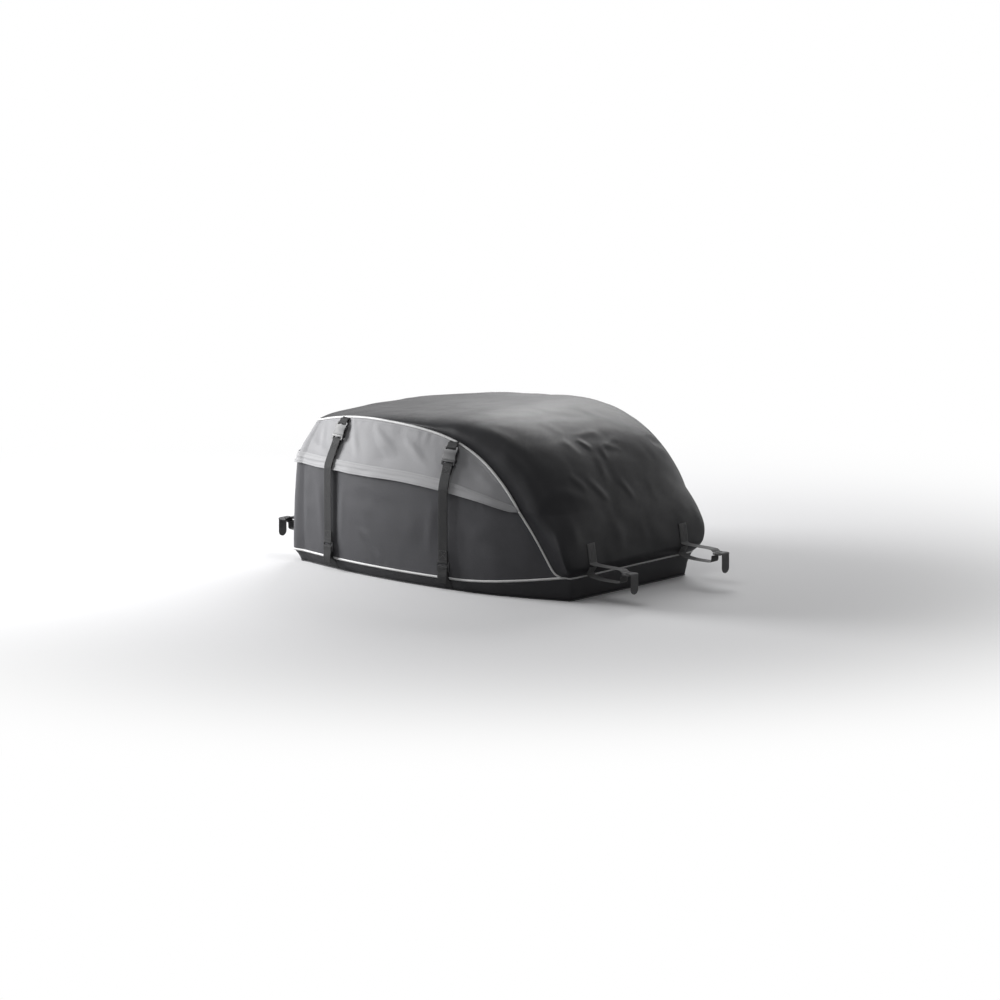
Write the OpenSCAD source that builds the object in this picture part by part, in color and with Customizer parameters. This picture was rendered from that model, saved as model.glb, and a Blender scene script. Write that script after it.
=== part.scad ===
// Soft roof cargo bag.
// +X is forward, towards the rounded nose, +Y is the car's left and +Z is up.
// The origin is the middle of the flat underside of the floor. Millimetres.
// The tub is the floor and the lower walls. The lid is the top and the upper walls, closed
// by a zipper that runs from one side of the nose round the back to the other side.

/* [Bag] */
// Length from the rear wall to the front of the nose
bag_length = 964; // [900:1:1040]
// Width over the side walls at the widest place
bag_width = 682; // [620:1:740]
// Height of the crest above the ground
bag_height = 447; // [430:1:480]
// Thickness of a wall panel, coated fabric with its lining
panel_t = 3; // [2:0.5:4]
// Thickness of the floor panel
floor_t = 3; // [2:0.5:4]
// Plan radius of the bowed side walls
side_arc_r = 1724; // [1500:1:2400]
// How far the widest place lies behind the middle
widest_back = 45; // [0:1:90]
// Length of the rounded rear corners along the side
rear_corner = 57; // [40:1:80]
// How far the side walls draw in towards the nose
nose_pinch = 22; // [10:1:30]
// How far the foot of the nose tucks in under its bulge
nose_tuck = 18; // [8:1:28]

/* [Seams] */
// Height of the piped seam along the foot of the side walls
foot_z = 33; // [24:1:40]
// Height of the same seam across the foot of the nose
nose_foot_z = 64; // [56:1:72]
// How far the floor's edge lies inside the piped foot seam
floor_inset = 16; // [10:1:24]
// Highest place of the arched seam on the side
seam_z = 412; // [400:1:420]
// How far behind the middle the arched seam starts to fall
seam_fall_back = 365; // [320:1:400]
// How far the arched seam lands behind the front of the nose
seam_setback = 70; // [55:1:90]
// Height of the seam across the top of the rear wall
rear_seam_z = 372; // [360:1:382]
// How far the top of the rear wall leans forward
rear_lean = 16; // [8:1:28]
// Where the crest is highest, ahead of the middle
crest_ahead = 105; // [60:1:140]
// Height of the crest just ahead of the rear shoulder
rear_crest_z = 390; // [382:1:400]
// Inward lean of the upper side panels per unit of height
side_lean = 0.36; // [0.3:0.01:0.42]
// How much more the rear end of the arched seam draws in
rear_pinch = 45; // [30:1:60]
// Radius of the piping cord
piping_r = 4; // [3:0.5:5]
// Distance of the rear wall's upright seams from the middle
rear_seam_y = 230; // [210:1:250]

/* [Zipper] */
// Height of the zipper across the rear
zip_z = 279; // [270:1:290]
// Height of the zipper's front ends and of the lid's hinge line
tip_z = 226; // [215:1:240]
// Where the zipper starts to fall towards the nose, behind the middle
zip_fall_back = 60; // [20:1:100]
// Clear height from the zipper's middle to the panel edges
zip_gap = 8; // [7:0.5:10]
// Thickness of the zipper tape
tape_t = 1; // [0.8:0.1:1.4]
// Thickness of the row of teeth
teeth_t = 3; // [2.4:0.1:3.4]
// Height of one row of teeth
teeth_h = 3; // [2.5:0.1:3.5]
// Travel of a slider across the rear wall
slider_travel = 150; // [100:1:160]
// Height of the storm flap above the zipper
flap_up = 18; // [14:1:22]
// Height of the storm flap below the zipper
flap_down = 10; // [8:0.5:12]
// How far the storm flap's lower edge stands off the wall
flap_stand = 6; // [5:0.5:9]
// Thickness of the storm flap
flap_t = 2; // [1.5:0.5:3]

/* [Webbing] */
// Width of all the webbing
web_w = 30; // [25:1:34]
// Thickness of the webbing
web_t = 1.6; // [1.2:0.1:2]
// Place of the rear side straps, behind the middle
rear_strap_back = 308; // [280:1:350]
// Place of the front side straps, ahead of the middle
front_strap_ahead = 107; // [80:1:130]
// Height of the ladder lock's hinge bar on a side strap
lock_z = 74; // [70:1:90]
// How far a side strap stands off the wall at its ladder lock
strap_stand = 10; // [9:0.5:14]
// Length of the loose tail below a side strap's ladder lock
side_tail = 34; // [20:1:38]

/* [Buckles] */
// Length of the side-release socket's body
socket_l = 28; // [26:1:34]
// Thickness of the socket
socket_t = 9; // [8.5:0.5:11]
// Side wall of the socket beside its cavity
socket_wall = 3.2; // [2.5:0.1:4]
// Depth of the socket's cavity
cavity_l = 22; // [20:0.5:24]
// Thickness of the socket's cavity
cavity_t = 5; // [4.5:0.1:5.5]
// Play between the plug and the socket
plug_play = 0.4; // [0.3:0.05:0.5]
// Radius of the bars that the webbing goes round
bar_r = 1.8; // [1.5:0.1:2.2]
// Length of the ladder lock from its hinge bar to its end bar
lock_l = 20; // [19:0.5:26]
// Side rail of the ladder lock
rail_w = 3.2; // [2.5:0.1:4]

/* [Tie downs] */
// Distance of the tie downs from the middle of the bag
tie_y = 186; // [150:1:200]
// Width of the load bar that a tie-down loop takes
bar_w = 80; // [60:1:90]
// Height of the load bar that a tie-down loop takes
bar_h = 32; // [24:1:34]
// Distance from the bag's end to the load bar
bar_gap = 16; // [12:1:24]
// Height of the load bar's top above the ground
bar_top_z = 92; // [90:1:98]
// Height of the stitched patch of a tie down
patch_h = 52; // [40:1:60]
// Length of the hanging tail of a tie down
tie_tail = 50; // [30:1:54]

/* [Hidden] */
half_l = bag_length / 2;
eps = 0.01;
fit = 0.3;
// columns along a side, across the rear and across the nose
n_side = 28;
n_rear = 16;
n_v = 24;
// plan exponents of the rear wall's corners, which get rounder upwards, and of the nose's
rear_n = 9;
zip_n = 4.2;
top_rear_n = 3.4;
foot_n = 10;
hinge_n = 4.5;
crest_n = 2.4;
// profile exponents of the crest over the nose and of the arched seam
crest_p = 2.1;
crest_q = 2.4;
arch_p = 5;
// height and sharpness of the arched seam's landing on the foot of the nose
arch_foot = nose_foot_z - 2;
arch_soft = 24;
arch_rise = seam_z - arch_foot;
arch_x0 = -seam_fall_back;
arch_reach = half_l - seam_setback - arch_x0;
shoulder = rear_crest_z - rear_seam_z;
shoulder_l = 50;
rear_top_x = -half_l + rear_lean;
corner_x = -half_l + rear_corner;
hinge_gap = 0.6;
seam_in = 2;
// stretch over which the side walls draw in towards the nose, measured from its front
pinch_start = 232;
pinch_end = 42;
// where the foot seam starts to climb
climb_x = 150;
// how the arched seam sinks again over the rear
sag_x = -150;
sag_k = 4.6e-4;
// where the arched seam starts to draw in towards the rear
rear_pinch_x = 100;
// swell of the nose's cheeks between the hinge line and the foot
cheek = 0.25;

// 0 below lo, 1 above hi
function ramp(x, lo, hi) = max(0, min(1, (x - lo) / (hi - lo)));
function flat(lists) = [for (l = lists) each l];
function unit(v) = v / norm(v);
// fullness of a row across the bag: 0 at its two ends and 1 over most of it
function fill(v, n) = pow(max(0, 1 - pow(abs(v), n)), 1 / n);

// Half width of the bowed wall, drawn in towards the nose.
function bow(x) = side_arc_r - sqrt(pow(side_arc_r, 2) - pow(x + widest_back, 2));
function wall_y(x) = bag_width / 2 - bow(x) - nose_pinch * ramp(x, half_l - pinch_start, half_l - pinch_end);

// Arched seam: nearly level at the back, falling over the nose and landing softly on its foot.
function arch_drop(x) = pow(max(x - arch_x0, 0) / arch_reach, arch_p);
function arch_h(x) = arch_rise * (1 - arch_drop(x));
function arch_sag(x) = sag_k * pow(max(sag_x - x, 0), 2);
function arch_z(x) = arch_foot + (arch_h(x) + sqrt(pow(arch_h(x), 2) + pow(arch_soft, 2))) / 2 - arch_sag(x);
function arch_x(z) =
    let (up = z - arch_foot, h = up - pow(arch_soft, 2) / (4 * up))
    arch_x0 + arch_reach * pow(1 - h / arch_rise, 1 / arch_p);

tip_x = arch_x(tip_z);
nose_end_x = arch_x(nose_foot_z);

// Zipper line: level round the back, falling to the tips beside the nose.
function zip_line(x) = zip_z - (zip_z - tip_z) * pow(max(x + zip_fall_back, 0) / (tip_x + zip_fall_back), 2);
// Piped foot seam: low along the sides, climbing to the foot of the nose.
function foot_line(x) = foot_z + (nose_foot_z - foot_z) * pow(ramp(x, climb_x, nose_end_x), 1.5);
function seam_y(x) =
    wall_y(x) - side_lean * max(arch_z(x) - zip_line(x), 0)
        - rear_pinch * pow(ramp(-x, rear_pinch_x, half_l), 2);

// Profile along the middle of the bag.
function crest_rear(x) = bag_height
    - (bag_height - rear_crest_z) * pow(max(crest_ahead - x, 0) / (crest_ahead - rear_top_x), 1.3)
    - shoulder * pow(1 - ramp(x, rear_top_x, rear_top_x + shoulder_l), 2);
function crest_front(x) = bag_height
    * pow(max(0, 1 - pow(ramp(x, crest_ahead, half_l), crest_p)), 1 / crest_q);
function crest_z(x) = x < crest_ahead ? crest_rear(x) : crest_front(x);
function crest_x(z) = crest_ahead
    + (half_l - crest_ahead) * pow(1 - pow(z / bag_height, crest_q), 1 / crest_p);
// the same below the bulge of the nose, where it tucks in again
bulge_z = 92;
function nose_x(z) = z > bulge_z ? crest_x(z)
    : crest_x(bulge_z) - nose_tuck * pow((bulge_z - z) / (bulge_z - nose_foot_z), 2);
hinge_x = crest_x(tip_z) + 1;

// Plan of the walls, from the right front corner round the back to the left one.
function side_x(k) = nose_end_x + (corner_x - nose_end_x) * (1 - cos(180 * k / n_side)) / 2;
function spread(k, n) = sin(90 * (2 * k / n - 1));
function rear_pt(v, inset, n = rear_n) =
    [corner_x - (rear_corner - inset) * fill(v, n), v * (wall_y(corner_x) - inset)];
function foot_pt(v, inset) =
    [nose_end_x + (nose_x(nose_foot_z) - nose_end_x - inset) * fill(v, foot_n),
     v * (wall_y(nose_end_x) - inset)];
function side_plan(inset) = [for (k = [0:n_side]) [side_x(k), inset - wall_y(side_x(k))]];
function mirror_y(pts) = [for (k = [len(pts) - 1:-1:0]) [pts[k][0], -pts[k][1], pts[k][2]]];
function flip_y(pts) = [for (k = [len(pts) - 1:-1:0]) [pts[k][0], -pts[k][1]]];
function loop_plan(inset) = concat(
    side_plan(inset),
    [for (k = [1:n_rear - 1]) rear_pt(spread(k, n_rear), inset)],
    flip_y(side_plan(inset)),
    [for (k = [1:n_v - 1]) foot_pt(-spread(k, n_v), inset)]);
function in_nose(p) = p[0] > nose_end_x + eps;
function foot_loop(inset, dz) =
    [for (p = loop_plan(inset)) [p[0], p[1], (in_nose(p) ? nose_foot_z : foot_line(p[0])) + dz]];

// Polyhedra on grids of points. outer and inner are lists of rows.
function cell(a, b, c, d) = [[a, b, c], [a, c, d]];
module skin(outer, inner) {
    nr = len(outer);
    nc = len(outer[0]);
    m = nr * nc;
    function at(i, j) = i * nc + j;
    faces = concat(
        flat([for (i = [0:nr - 2], j = [0:nc - 2])
            cell(at(i, j), at(i, j + 1), at(i + 1, j + 1), at(i + 1, j))]),
        flat([for (i = [0:nr - 2], j = [0:nc - 2])
            cell(m + at(i, j), m + at(i + 1, j), m + at(i + 1, j + 1), m + at(i, j + 1))]),
        flat([for (j = [0:nc - 2]) cell(at(0, j), m + at(0, j), m + at(0, j + 1), at(0, j + 1))]),
        flat([for (j = [0:nc - 2])
            cell(at(nr - 1, j), at(nr - 1, j + 1), m + at(nr - 1, j + 1), m + at(nr - 1, j))]),
        flat([for (i = [0:nr - 2]) cell(at(i, 0), at(i + 1, 0), m + at(i + 1, 0), m + at(i, 0))]),
        flat([for (i = [0:nr - 2])
            cell(at(i, nc - 1), m + at(i, nc - 1), m + at(i + 1, nc - 1), at(i + 1, nc - 1))]));
    polyhedron(concat(flat(outer), flat(inner)), faces);
}

// Sections swept along a path: each ring has the same number of points.
module rings(sections, closed = false) {
    nr = len(sections);
    nc = len(sections[0]);
    last = closed ? nr - 1 : nr - 2;
    function at(i, j) = (i % nr) * nc + (j % nc);
    faces = concat(
        flat([for (i = [0:last], j = [0:nc - 1])
            cell(at(i, j), at(i + 1, j), at(i + 1, j + 1), at(i, j + 1))]),
        closed ? [] : [[for (j = [0:nc - 1]) j], [for (j = [nc - 1:-1:0]) at(nr - 1, j)]]);
    polyhedron(flat(sections), faces);
}
function tangent(path, i, closed) =
    let (n = len(path))
    unit(closed ? path[(i + 1) % n] - path[(i + n - 1) % n] : path[min(i + 1, n - 1)] - path[max(i - 1, 0)]);
// round section square to the path
function cord(path, r, closed = false, sides = 6) = [for (i = [0:len(path) - 1])
    let (t = tangent(path, i, closed), a = unit(cross(t, [0, 0, 1])), b = cross(t, a))
    [for (k = [0:sides - 1]) path[i] + r * (cos(360 * k / sides) * a + sin(360 * k / sides) * b)]];
// section of [outward, up] points that stays upright and follows the wall
function band(path, sections) = [for (i = [0:len(path) - 1])
    let (t = tangent(path, i, false), out = unit([t[1], -t[0], 0]) * -1)
    [for (s = sections[i]) path[i] + s[0] * out + [0, 0, s[1]]]];

// Outline of a ribbon of thickness t along an open path in a plane.
function side_step(path, i) =
    let (t = unit(path[min(i + 1, len(path) - 1)] - path[max(i - 1, 0)])) [-t[1], t[0]];
function ribbon(path, t) = concat(
    [for (i = [0:len(path) - 1]) path[i] + side_step(path, i) * t / 2],
    [for (i = [len(path) - 1:-1:0]) path[i] - side_step(path, i) * t / 2]);
function turn(a) = [cos(a), sin(a)];
function arc(c, r, a0, a1, n) = [for (k = [0:n]) c + r * turn(a0 + (a1 - a0) * k / n)];
// a ribbon drawn in the upright plane [y, z] and as wide as the webbing in x
module strip(path, t = web_t) {
    rotate([90, 0, 90])
        translate([0, 0, -web_w / 2])
            linear_extrude(web_w) polygon(ribbon(path, t));
}

// Surface of the top panel, from its rear seam to the hinge line.
function top_s(u) = (1 - cos(180 * u)) / 2;
function top_row(u, n_cols) =
    let (s = top_s(u), xa = corner_x + (arch_x(tip_z + hinge_gap) - corner_x) * s,
         xc = rear_top_x + (crest_x(tip_z + hinge_gap) - rear_top_x) * s,
         n = top_rear_n + (crest_n - top_rear_n) * min(1, 6 * s) + (hinge_n - crest_n) * pow(s, 4))
    [for (k = [0:n_cols])
        let (v = spread(k, n_cols), b = fill(v, n))
        [xa + (xc - xa) * b, v * (seam_y(xa) - seam_in), arch_z(xa) + (crest_z(xc) - arch_z(xa)) * b]];
// Surface of the nose below the hinge line, in level rows.
function nose_row(z, n_cols) =
    let (xa = arch_x(z), k = (tip_z - z) / (tip_z - nose_foot_z),
         n = hinge_n + (foot_n - hinge_n) * min(1, k / 0.6),
         swell = cheek * pow(sin(180 * pow(max(0, min(1, k)), 1.8)), 0.8))
    [for (c = [0:n_cols])
        let (v = spread(c, n_cols))
        [xa + seam_in + (nose_x(z) - xa - seam_in) * fill(v, n),
         v * (wall_y(xa) - seam_in / 2) * (1 + swell * pow(1 - v * v, 1 / 3)), z]];

function at(g, i, j) = g[max(0, min(len(g) - 1, i))][max(0, min(len(g[0]) - 1, j))];
function outward(g, i, j) = unit(cross(at(g, i + 1, j) - at(g, i - 1, j), at(g, i, j + 1) - at(g, i, j - 1)));
function offset_in(g, t) =
    [for (i = [0:len(g) - 1]) [for (j = [0:len(g[0]) - 1]) g[i][j] - t * outward(g, i, j)]];

// Upright strip of wall: the tub's panels, from the foot seam to the zipper or the arched seam.
function tub_top(x) = min(zip_line(x) - zip_gap, arch_z(x) - seam_in);
module tub_strip(outer, inner, z_low, z_high) {
    function row(plans, r) = [for (k = [0:len(z_low) - 1]) raise(plans[r][k], r == 0 ? z_low[k] : z_high[k])];
    skin([row(outer, 0), row(outer, 1)], [row(inner, 0), row(inner, 1)]);
}

// Stations round one rear corner, up to the rear wall's upright seam.
n_corner = 7;
function corner_v(k, inset) =
    -1 + (1 - rear_seam_y / (wall_y(corner_x) - inset)) * pow(k / n_corner, 1.6);
function corner_plan(inset, n) = [for (k = [1:n_corner]) rear_pt(corner_v(k, inset), inset, n)];
n_back = 8;
function back_v(k, inset) = rear_seam_y / (wall_y(corner_x) - inset) * (2 * k / n_back - 1);
function back_plan(inset, n) = [for (k = [0:n_back]) rear_pt(back_v(k, inset), inset, n)];

module floor_panel()
    color([0.16, 0.16, 0.17])
        linear_extrude(floor_t) polygon(loop_plan(floor_inset - 1));

// lower wall that leans in from the piped foot seam to the floor
module base_boxing() {
    low_out = loop_plan(floor_inset);
    low_in = loop_plan(floor_inset + panel_t);
    high_out = foot_loop(0.5, -0.5);
    high_in = foot_loop(0.5 + panel_t, -0.5);
    color([0.16, 0.16, 0.17])
        rings([for (i = [0:len(low_out) - 1])
            [raise(low_out[i], floor_t), high_out[i], high_in[i], raise(low_in[i], floor_t)]],
            closed = true);
}

module base_piping()
    color([0.88, 0.88, 0.88]) rings(cord(foot_loop(1, 0), piping_r, closed = true), closed = true);

module side_panel() {
    function plans(inset) = [for (n = [rear_n, zip_n]) concat(side_plan(inset), corner_plan(inset, n))];
    low = [for (p = plans(0)[0]) foot_line(p[0]) + 0.5];
    high = [for (i = [0:len(low) - 1]) max(low[i] + 1, tub_top(max(plans(0)[0][i][0], corner_x)))];
    color([0.3, 0.3, 0.32]) tub_strip(plans(0), plans(panel_t), low, high);
}

module rear_panel() {
    function plans(inset) = [for (n = [rear_n, zip_n]) back_plan(inset, n)];
    color([0.3, 0.3, 0.32])
        tub_strip(plans(0), plans(panel_t),
            [for (k = [0:n_back]) foot_z + 0.5], [for (k = [0:n_back]) zip_z - zip_gap]);
}

module nose_panel() {
    rows = 10;
    z_top = tip_z - hinge_gap;
    z_low = nose_foot_z + 1.8;
    grid = [for (k = [0:rows]) nose_row(z_top + (z_low - z_top) * k / rows, n_v)];
    color([0.12, 0.12, 0.13]) skin(grid, offset_in(grid, panel_t));
}

// the arched seam's piping below the hinge line
module nose_piping() {
    x0 = arch_x(tip_z - hinge_gap - 1);
    n = 14;
    path = [for (k = [0:n])
        let (x = x0 + (nose_end_x - 11 - x0) * k / n)
        [x, 1 - wall_y(x), arch_z(x)]];
    color([0.88, 0.88, 0.88]) rings(cord(path, piping_r));
}

// Upper walls of the lid: low edge above the zipper, high edge under the arched seam.
upper_end_x = tip_x - 14;
n_upper = 22;
function upper_x(k) = upper_end_x + (corner_x - upper_end_x) * k / n_upper;
function rear_top(v, inset) =
    [corner_x + (rear_top_x + inset - corner_x) * fill(v, top_rear_n),
     v * (seam_y(corner_x) - inset),
     arch_z(corner_x) + (rear_seam_z - arch_z(corner_x)) * fill(v, top_rear_n)];
function raise(p, z) = [p[0], p[1], z];
function lower_z(x) = zip_line(x) + zip_gap;
module lid_strip(cols) {
    function grid(inset) = [
        [for (c = cols[inset == 0 ? 0 : 1]) c[0]],
        [for (c = cols[inset == 0 ? 0 : 1]) (c[0] + c[1]) / 2],
        [for (c = cols[inset == 0 ? 0 : 1]) c[1]]];
    skin(grid(0), grid(panel_t));
}
function side_col(x, inset) =
    [[x, inset - wall_y(x), lower_z(x)], [x, inset - seam_y(x), arch_z(x) - seam_in]];
function rear_col(v, inset) =
    [raise(rear_pt(v, inset, zip_n), zip_z + zip_gap), rear_top(v, inset) - [0, 0, seam_in]];

module upper_side()
    color([0.55, 0.55, 0.57])
        lid_strip([for (inset = [0, panel_t]) concat(
            [for (k = [0:n_upper]) side_col(upper_x(k), inset)],
            [for (k = [1:n_corner]) rear_col(corner_v(k, inset), inset)])]);

module upper_rear()
    color([0.55, 0.55, 0.57])
        lid_strip([for (inset = [0, panel_t]) [for (k = [0:n_back]) rear_col(back_v(k, inset), inset)]]);

module top_panel() {
    rows = 22;
    first = 0.03;
    grid = [for (k = [0:rows]) top_row(first + (1 - first) * k / rows, n_v)];
    color([0.12, 0.12, 0.13]) skin(grid, offset_in(grid, panel_t));
}

module upper_piping() {
    x0 = arch_x(tip_z + hinge_gap + 1);
    side = [for (k = [0:n_side])
        let (x = x0 + (corner_x - x0) * k / n_side)
        [x, 1 - seam_y(x), arch_z(x)]];
    path = concat(side, [for (k = [1:n_rear - 1]) rear_top(spread(k, n_rear), 1)], mirror_y(side));
    color([0.88, 0.88, 0.88]) rings(cord(path, piping_r));
}

// Zipper: two tapes with a row of teeth each, round the back between the tips.
tape_o = -panel_t - tape_t / 2 + 0.2;
tape_lap = 2;
row_gap = 0.8;
zip_end_x = tip_x - 24;
function zip_corner(k) = raise(rear_pt(corner_v(k, 0), 0, zip_n), zip_z);
zip_path =
    let (side = [for (k = [0:n_upper])
        let (x = zip_end_x + (corner_x - zip_end_x) * k / n_upper)
        [x, -wall_y(x), zip_line(x)]])
    concat(side, [for (k = [1:n_corner]) zip_corner(k)],
        [for (k = [1:n_back - 1]) raise(rear_pt(back_v(k, 0), 0, zip_n), zip_z)],
        mirror_y([for (k = [1:n_corner]) zip_corner(k)]), mirror_y(side));
// up is 1 for the lid's tape and -1 for the tub's
function tape_section(up) =
    let (half = tape_t / 2, tooth = teeth_t / 2, near = up * row_gap, far = up * (row_gap + teeth_h),
         bevel = far - up * 0.5, edge = up * (zip_gap + tape_lap),
         pts = [[half, far], [tooth, bevel], [tooth, near], [-tooth, near], [-tooth, bevel], [-half, far],
                [-half, edge], [half, edge]],
         sect = [for (p = pts) [tape_o + p[0], p[1]]])
    up < 0 ? sect : [for (k = [len(sect):-1:1]) sect[k % len(sect)]];
module zipper_tape(up)
    color([0.08, 0.08, 0.08])
        rings(band(zip_path, [for (i = [0:len(zip_path) - 1]) tape_section(up)]));

// Storm flap: sewn on above the zipper, its lower edge stands off the wall.
function flap_size(x) = 0.5 + 0.5 * ramp(tip_x - x, 0, 240);
function flap_path() =
    concat([for (k = [0:n_upper]) [upper_x(k), -wall_y(upper_x(k)), zip_line(upper_x(k))]],
        [for (k = [1:n_corner]) zip_corner(k)]);
function flap_root(k) =
    let (c = k > n_upper ? rear_col(corner_v(k - n_upper, 0), 0) : side_col(upper_x(k), 0),
         in = c[1] - c[0], up = flap_up * flap_size(c[0][0]) - zip_gap)
    -0.8 * norm([in[0], in[1]]) * up / in[2];
module storm_flap_side()
    color([0.66, 0.66, 0.68])
        rings(band(flap_path(), [for (k = [0:n_upper + n_corner])
            let (f = flap_size(k > n_upper ? corner_x : upper_x(k)), root = flap_root(k))
            [[root - 0.4, flap_up * f], [flap_stand, -flap_down * f],
             [flap_stand + flap_t, -flap_down * f], [root + flap_t, flap_up * f]]]));

flap_axis_x = -half_l - flap_stand - flap_t / 2;
flap_axis_z = zip_z + flap_up;
flap_half = rear_seam_y - 2;
module across(half, pts)
    translate([0, half, 0]) rotate([90, 0, 0]) linear_extrude(2 * half) polygon(pts);

// binding that carries the rear flap's hinge edge
module flap_binding() {
    z = flap_axis_z + flap_t / 2 + fit;
    wall_x = -half_l + rear_lean * (z - zip_z) / (rear_seam_z - zip_z) + 1;
    color([0.66, 0.66, 0.68])
        across(flap_half, [[wall_x, z], [wall_x, z + 8], [flap_axis_x - flap_t / 2, z + 2.5],
            [flap_axis_x - flap_t / 2, z]]);
}
module storm_flap_rear()
    color([0.66, 0.66, 0.68]) {
        translate([flap_axis_x - flap_t / 2, -flap_half, zip_z - flap_down])
            cube([flap_t, 2 * flap_half, flap_up + flap_down]);
        translate([flap_axis_x, flap_half, flap_axis_z])
            rotate([90, 0, 0]) cylinder(h = 2 * flap_half, r = flap_t / 2, $fn = 32);
    }

// Zipper slider, drawn about the middle of the teeth. Outward is -x.
slider_w = 9;
slider_h = 12;
plate_t = 1.3;
channel = teeth_t / 2 + 1.2;
slider_x = -half_l - tape_o;
slider_y = slider_w / 2 + 0.6;
pull_x = -half_l - 2.6;
pull_z = zip_z - flap_down - 3;
pin_r = 0.8;
eye_r = 2;
ear_t = 1.2;
tongue_w = 3.4;
ear_out = tongue_w / 2 + fit + ear_t;
module box(lo, hi) translate(lo) cube(hi - lo);
module rod_y(r, y0, y1) translate([0, y1, 0]) rotate([90, 0, 0]) cylinder(h = y1 - y0, r = r, $fn = 32);
module slider(side)
    color([0.35, 0.35, 0.36])
        translate([0, side * slider_y, 0]) {
            for (out = [-1, 1])
                translate([slider_x + out * (channel + plate_t / 2), 0, zip_z])
                    cube([plate_t, slider_w, slider_h], center = true);
            translate([slider_x, 0, zip_z]) cube([2 * channel + plate_t, 3, 1], center = true);
            for (s = [-1, 1])
                translate([0, s * (ear_out - ear_t / 2), 0]) {
                    box([pull_x - 1.4, -ear_t / 2, pull_z - 1.6], [pull_x + 1.9, ear_t / 2, zip_z + 2]);
                    box([pull_x, -ear_t / 2, zip_z - 4], [slider_x - channel, ear_t / 2, zip_z + 2]);
                }
            translate([pull_x, 0, pull_z]) rod_y(pin_r, -ear_out, ear_out);
        }

// pull tab that hangs below the storm flap and swings out on the slider's pin
module zip_pull(side)
    color([0.12, 0.12, 0.13])
        translate([pull_x, side * slider_y, pull_z])
            difference() {
                union() {
                    rod_y(eye_r, -tongue_w / 2, tongue_w / 2);
                    box([-0.8, -tongue_w / 2, -8], [0.8, tongue_w / 2, 0]);
                    box([-0.8, -4, -34], [0.8, 4, -6]);
                }
                rod_y(pin_r + 0.08, -tongue_w, tongue_w);
            }

// Side straps. Children are drawn with +x along the wall, -y outwards and z up.
module at_wall(x, side)
    mirror([0, side > 0 ? 1 : 0, 0])
        translate([x, -wall_y(x), 0])
            rotate([0, 0, plan_angle(x)])
                children();
loop_r = bar_r + fit + web_t / 2;
leg = web_t / 2 + 0.3;
stitch_l = 26;
stub_l = 13;
hard_w = web_w + 12;
function plan_angle(x) = asin((x + widest_back) / side_arc_r);
function lean_w(x) = wall_y(x) - seam_y(x);
// where the strap's line meets the arched seam, and how far inwards that is
function top_x(x) = x - lean_w(x) * sin(plan_angle(x));
function reach_in(x) = (wall_y(x) - seam_y(top_x(x))) / cos(plan_angle(x));
// the wall twists along the strap's width, so a hard buckle stands off it
function off_seam(x) = socket_t / 2 + 1.5 + hard_w / 2 * abs(lean_w(x - 10) - lean_w(x + 10)) / 20;
function top_pt(x) = [reach_in(x) - off_seam(x), arch_z(top_x(x)) - 3];
function pass_pt(x) = [-flap_stand - flap_t - web_t / 2 - 1.2, zip_line(x) + 4];
function tilt(x) = let (d = top_pt(x) - pass_pt(x)) atan2(d[0], d[1]);
// a point of the buckle's own frame, [inward, up the strap], in the strap's frame
function on_strap(x, p) =
    let (b = tilt(x))
    top_pt(x) + [p[0] * cos(b) + p[1] * sin(b), p[1] * cos(b) - p[0] * sin(b)];
module at_buckle(x, side)
    at_wall(x, side) translate([0, top_pt(x)[0], top_pt(x)[1]]) rotate([-tilt(x), 0, 0]) children();
module bar_x(r, half) rotate([0, 90, 0]) cylinder(h = 2 * half, r = r, center = true, $fn = 32);

body_top = -stub_l - 6;
body_low = body_top - socket_l;
cavity_w = hard_w - 2 * socket_wall;
plug_bar = body_low - 11;
// half the width of the arms that hold a bar
arm_half = 2.4;

// webbing tabs sewn into the arched seam, each round the bar of a socket
module buckle_tabs()
    color([0.1, 0.1, 0.11])
        for (x = [-rear_strap_back, front_strap_ahead], side = [-1, 1])
            at_buckle(x, side) {
                b = tilt(x);
                root = [off_seam(x) * cos(b) - 3 * sin(b), off_seam(x) * sin(b) + 3 * cos(b)];
                strip(concat([root, [leg + 0.6, 1], [leg, -stub_l + 7]],
                    arc([0, -stub_l], loop_r, 0, -180, 8), [[-leg, -stub_l + 7], [-leg, 0]]));
            }

module socket(x, side)
    color([0.42, 0.42, 0.43])
        at_buckle(x, side)
            difference() {
                union() {
                    box([-hard_w / 2, -socket_t / 2, body_low], [hard_w / 2, socket_t / 2, body_top]);
                    for (s = [-1, 1])
                        translate([s * (hard_w / 2 - arm_half), 0, 0])
                            box([-arm_half, -3, body_top - 1], [arm_half, 3, -stub_l + bar_r]);
                    translate([0, 0, -stub_l]) bar_x(bar_r, hard_w / 2 - 1);
                }
                translate([0, 0, body_low]) {
                    box([-cavity_w / 2, -cavity_t / 2, -1], [cavity_w / 2, cavity_t / 2, cavity_l]);
                    box([-hard_w, -cavity_t / 2, 4], [hard_w, cavity_t / 2, cavity_l - 5]);
                }
                for (s = [-1, 1])
                    translate([s * (hard_w / 2 + 18), socket_t, (body_low + body_top) / 2])
                        rotate([90, 0, 0]) cylinder(h = 2 * socket_t, r = 20, $fn = 48);
            }

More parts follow.
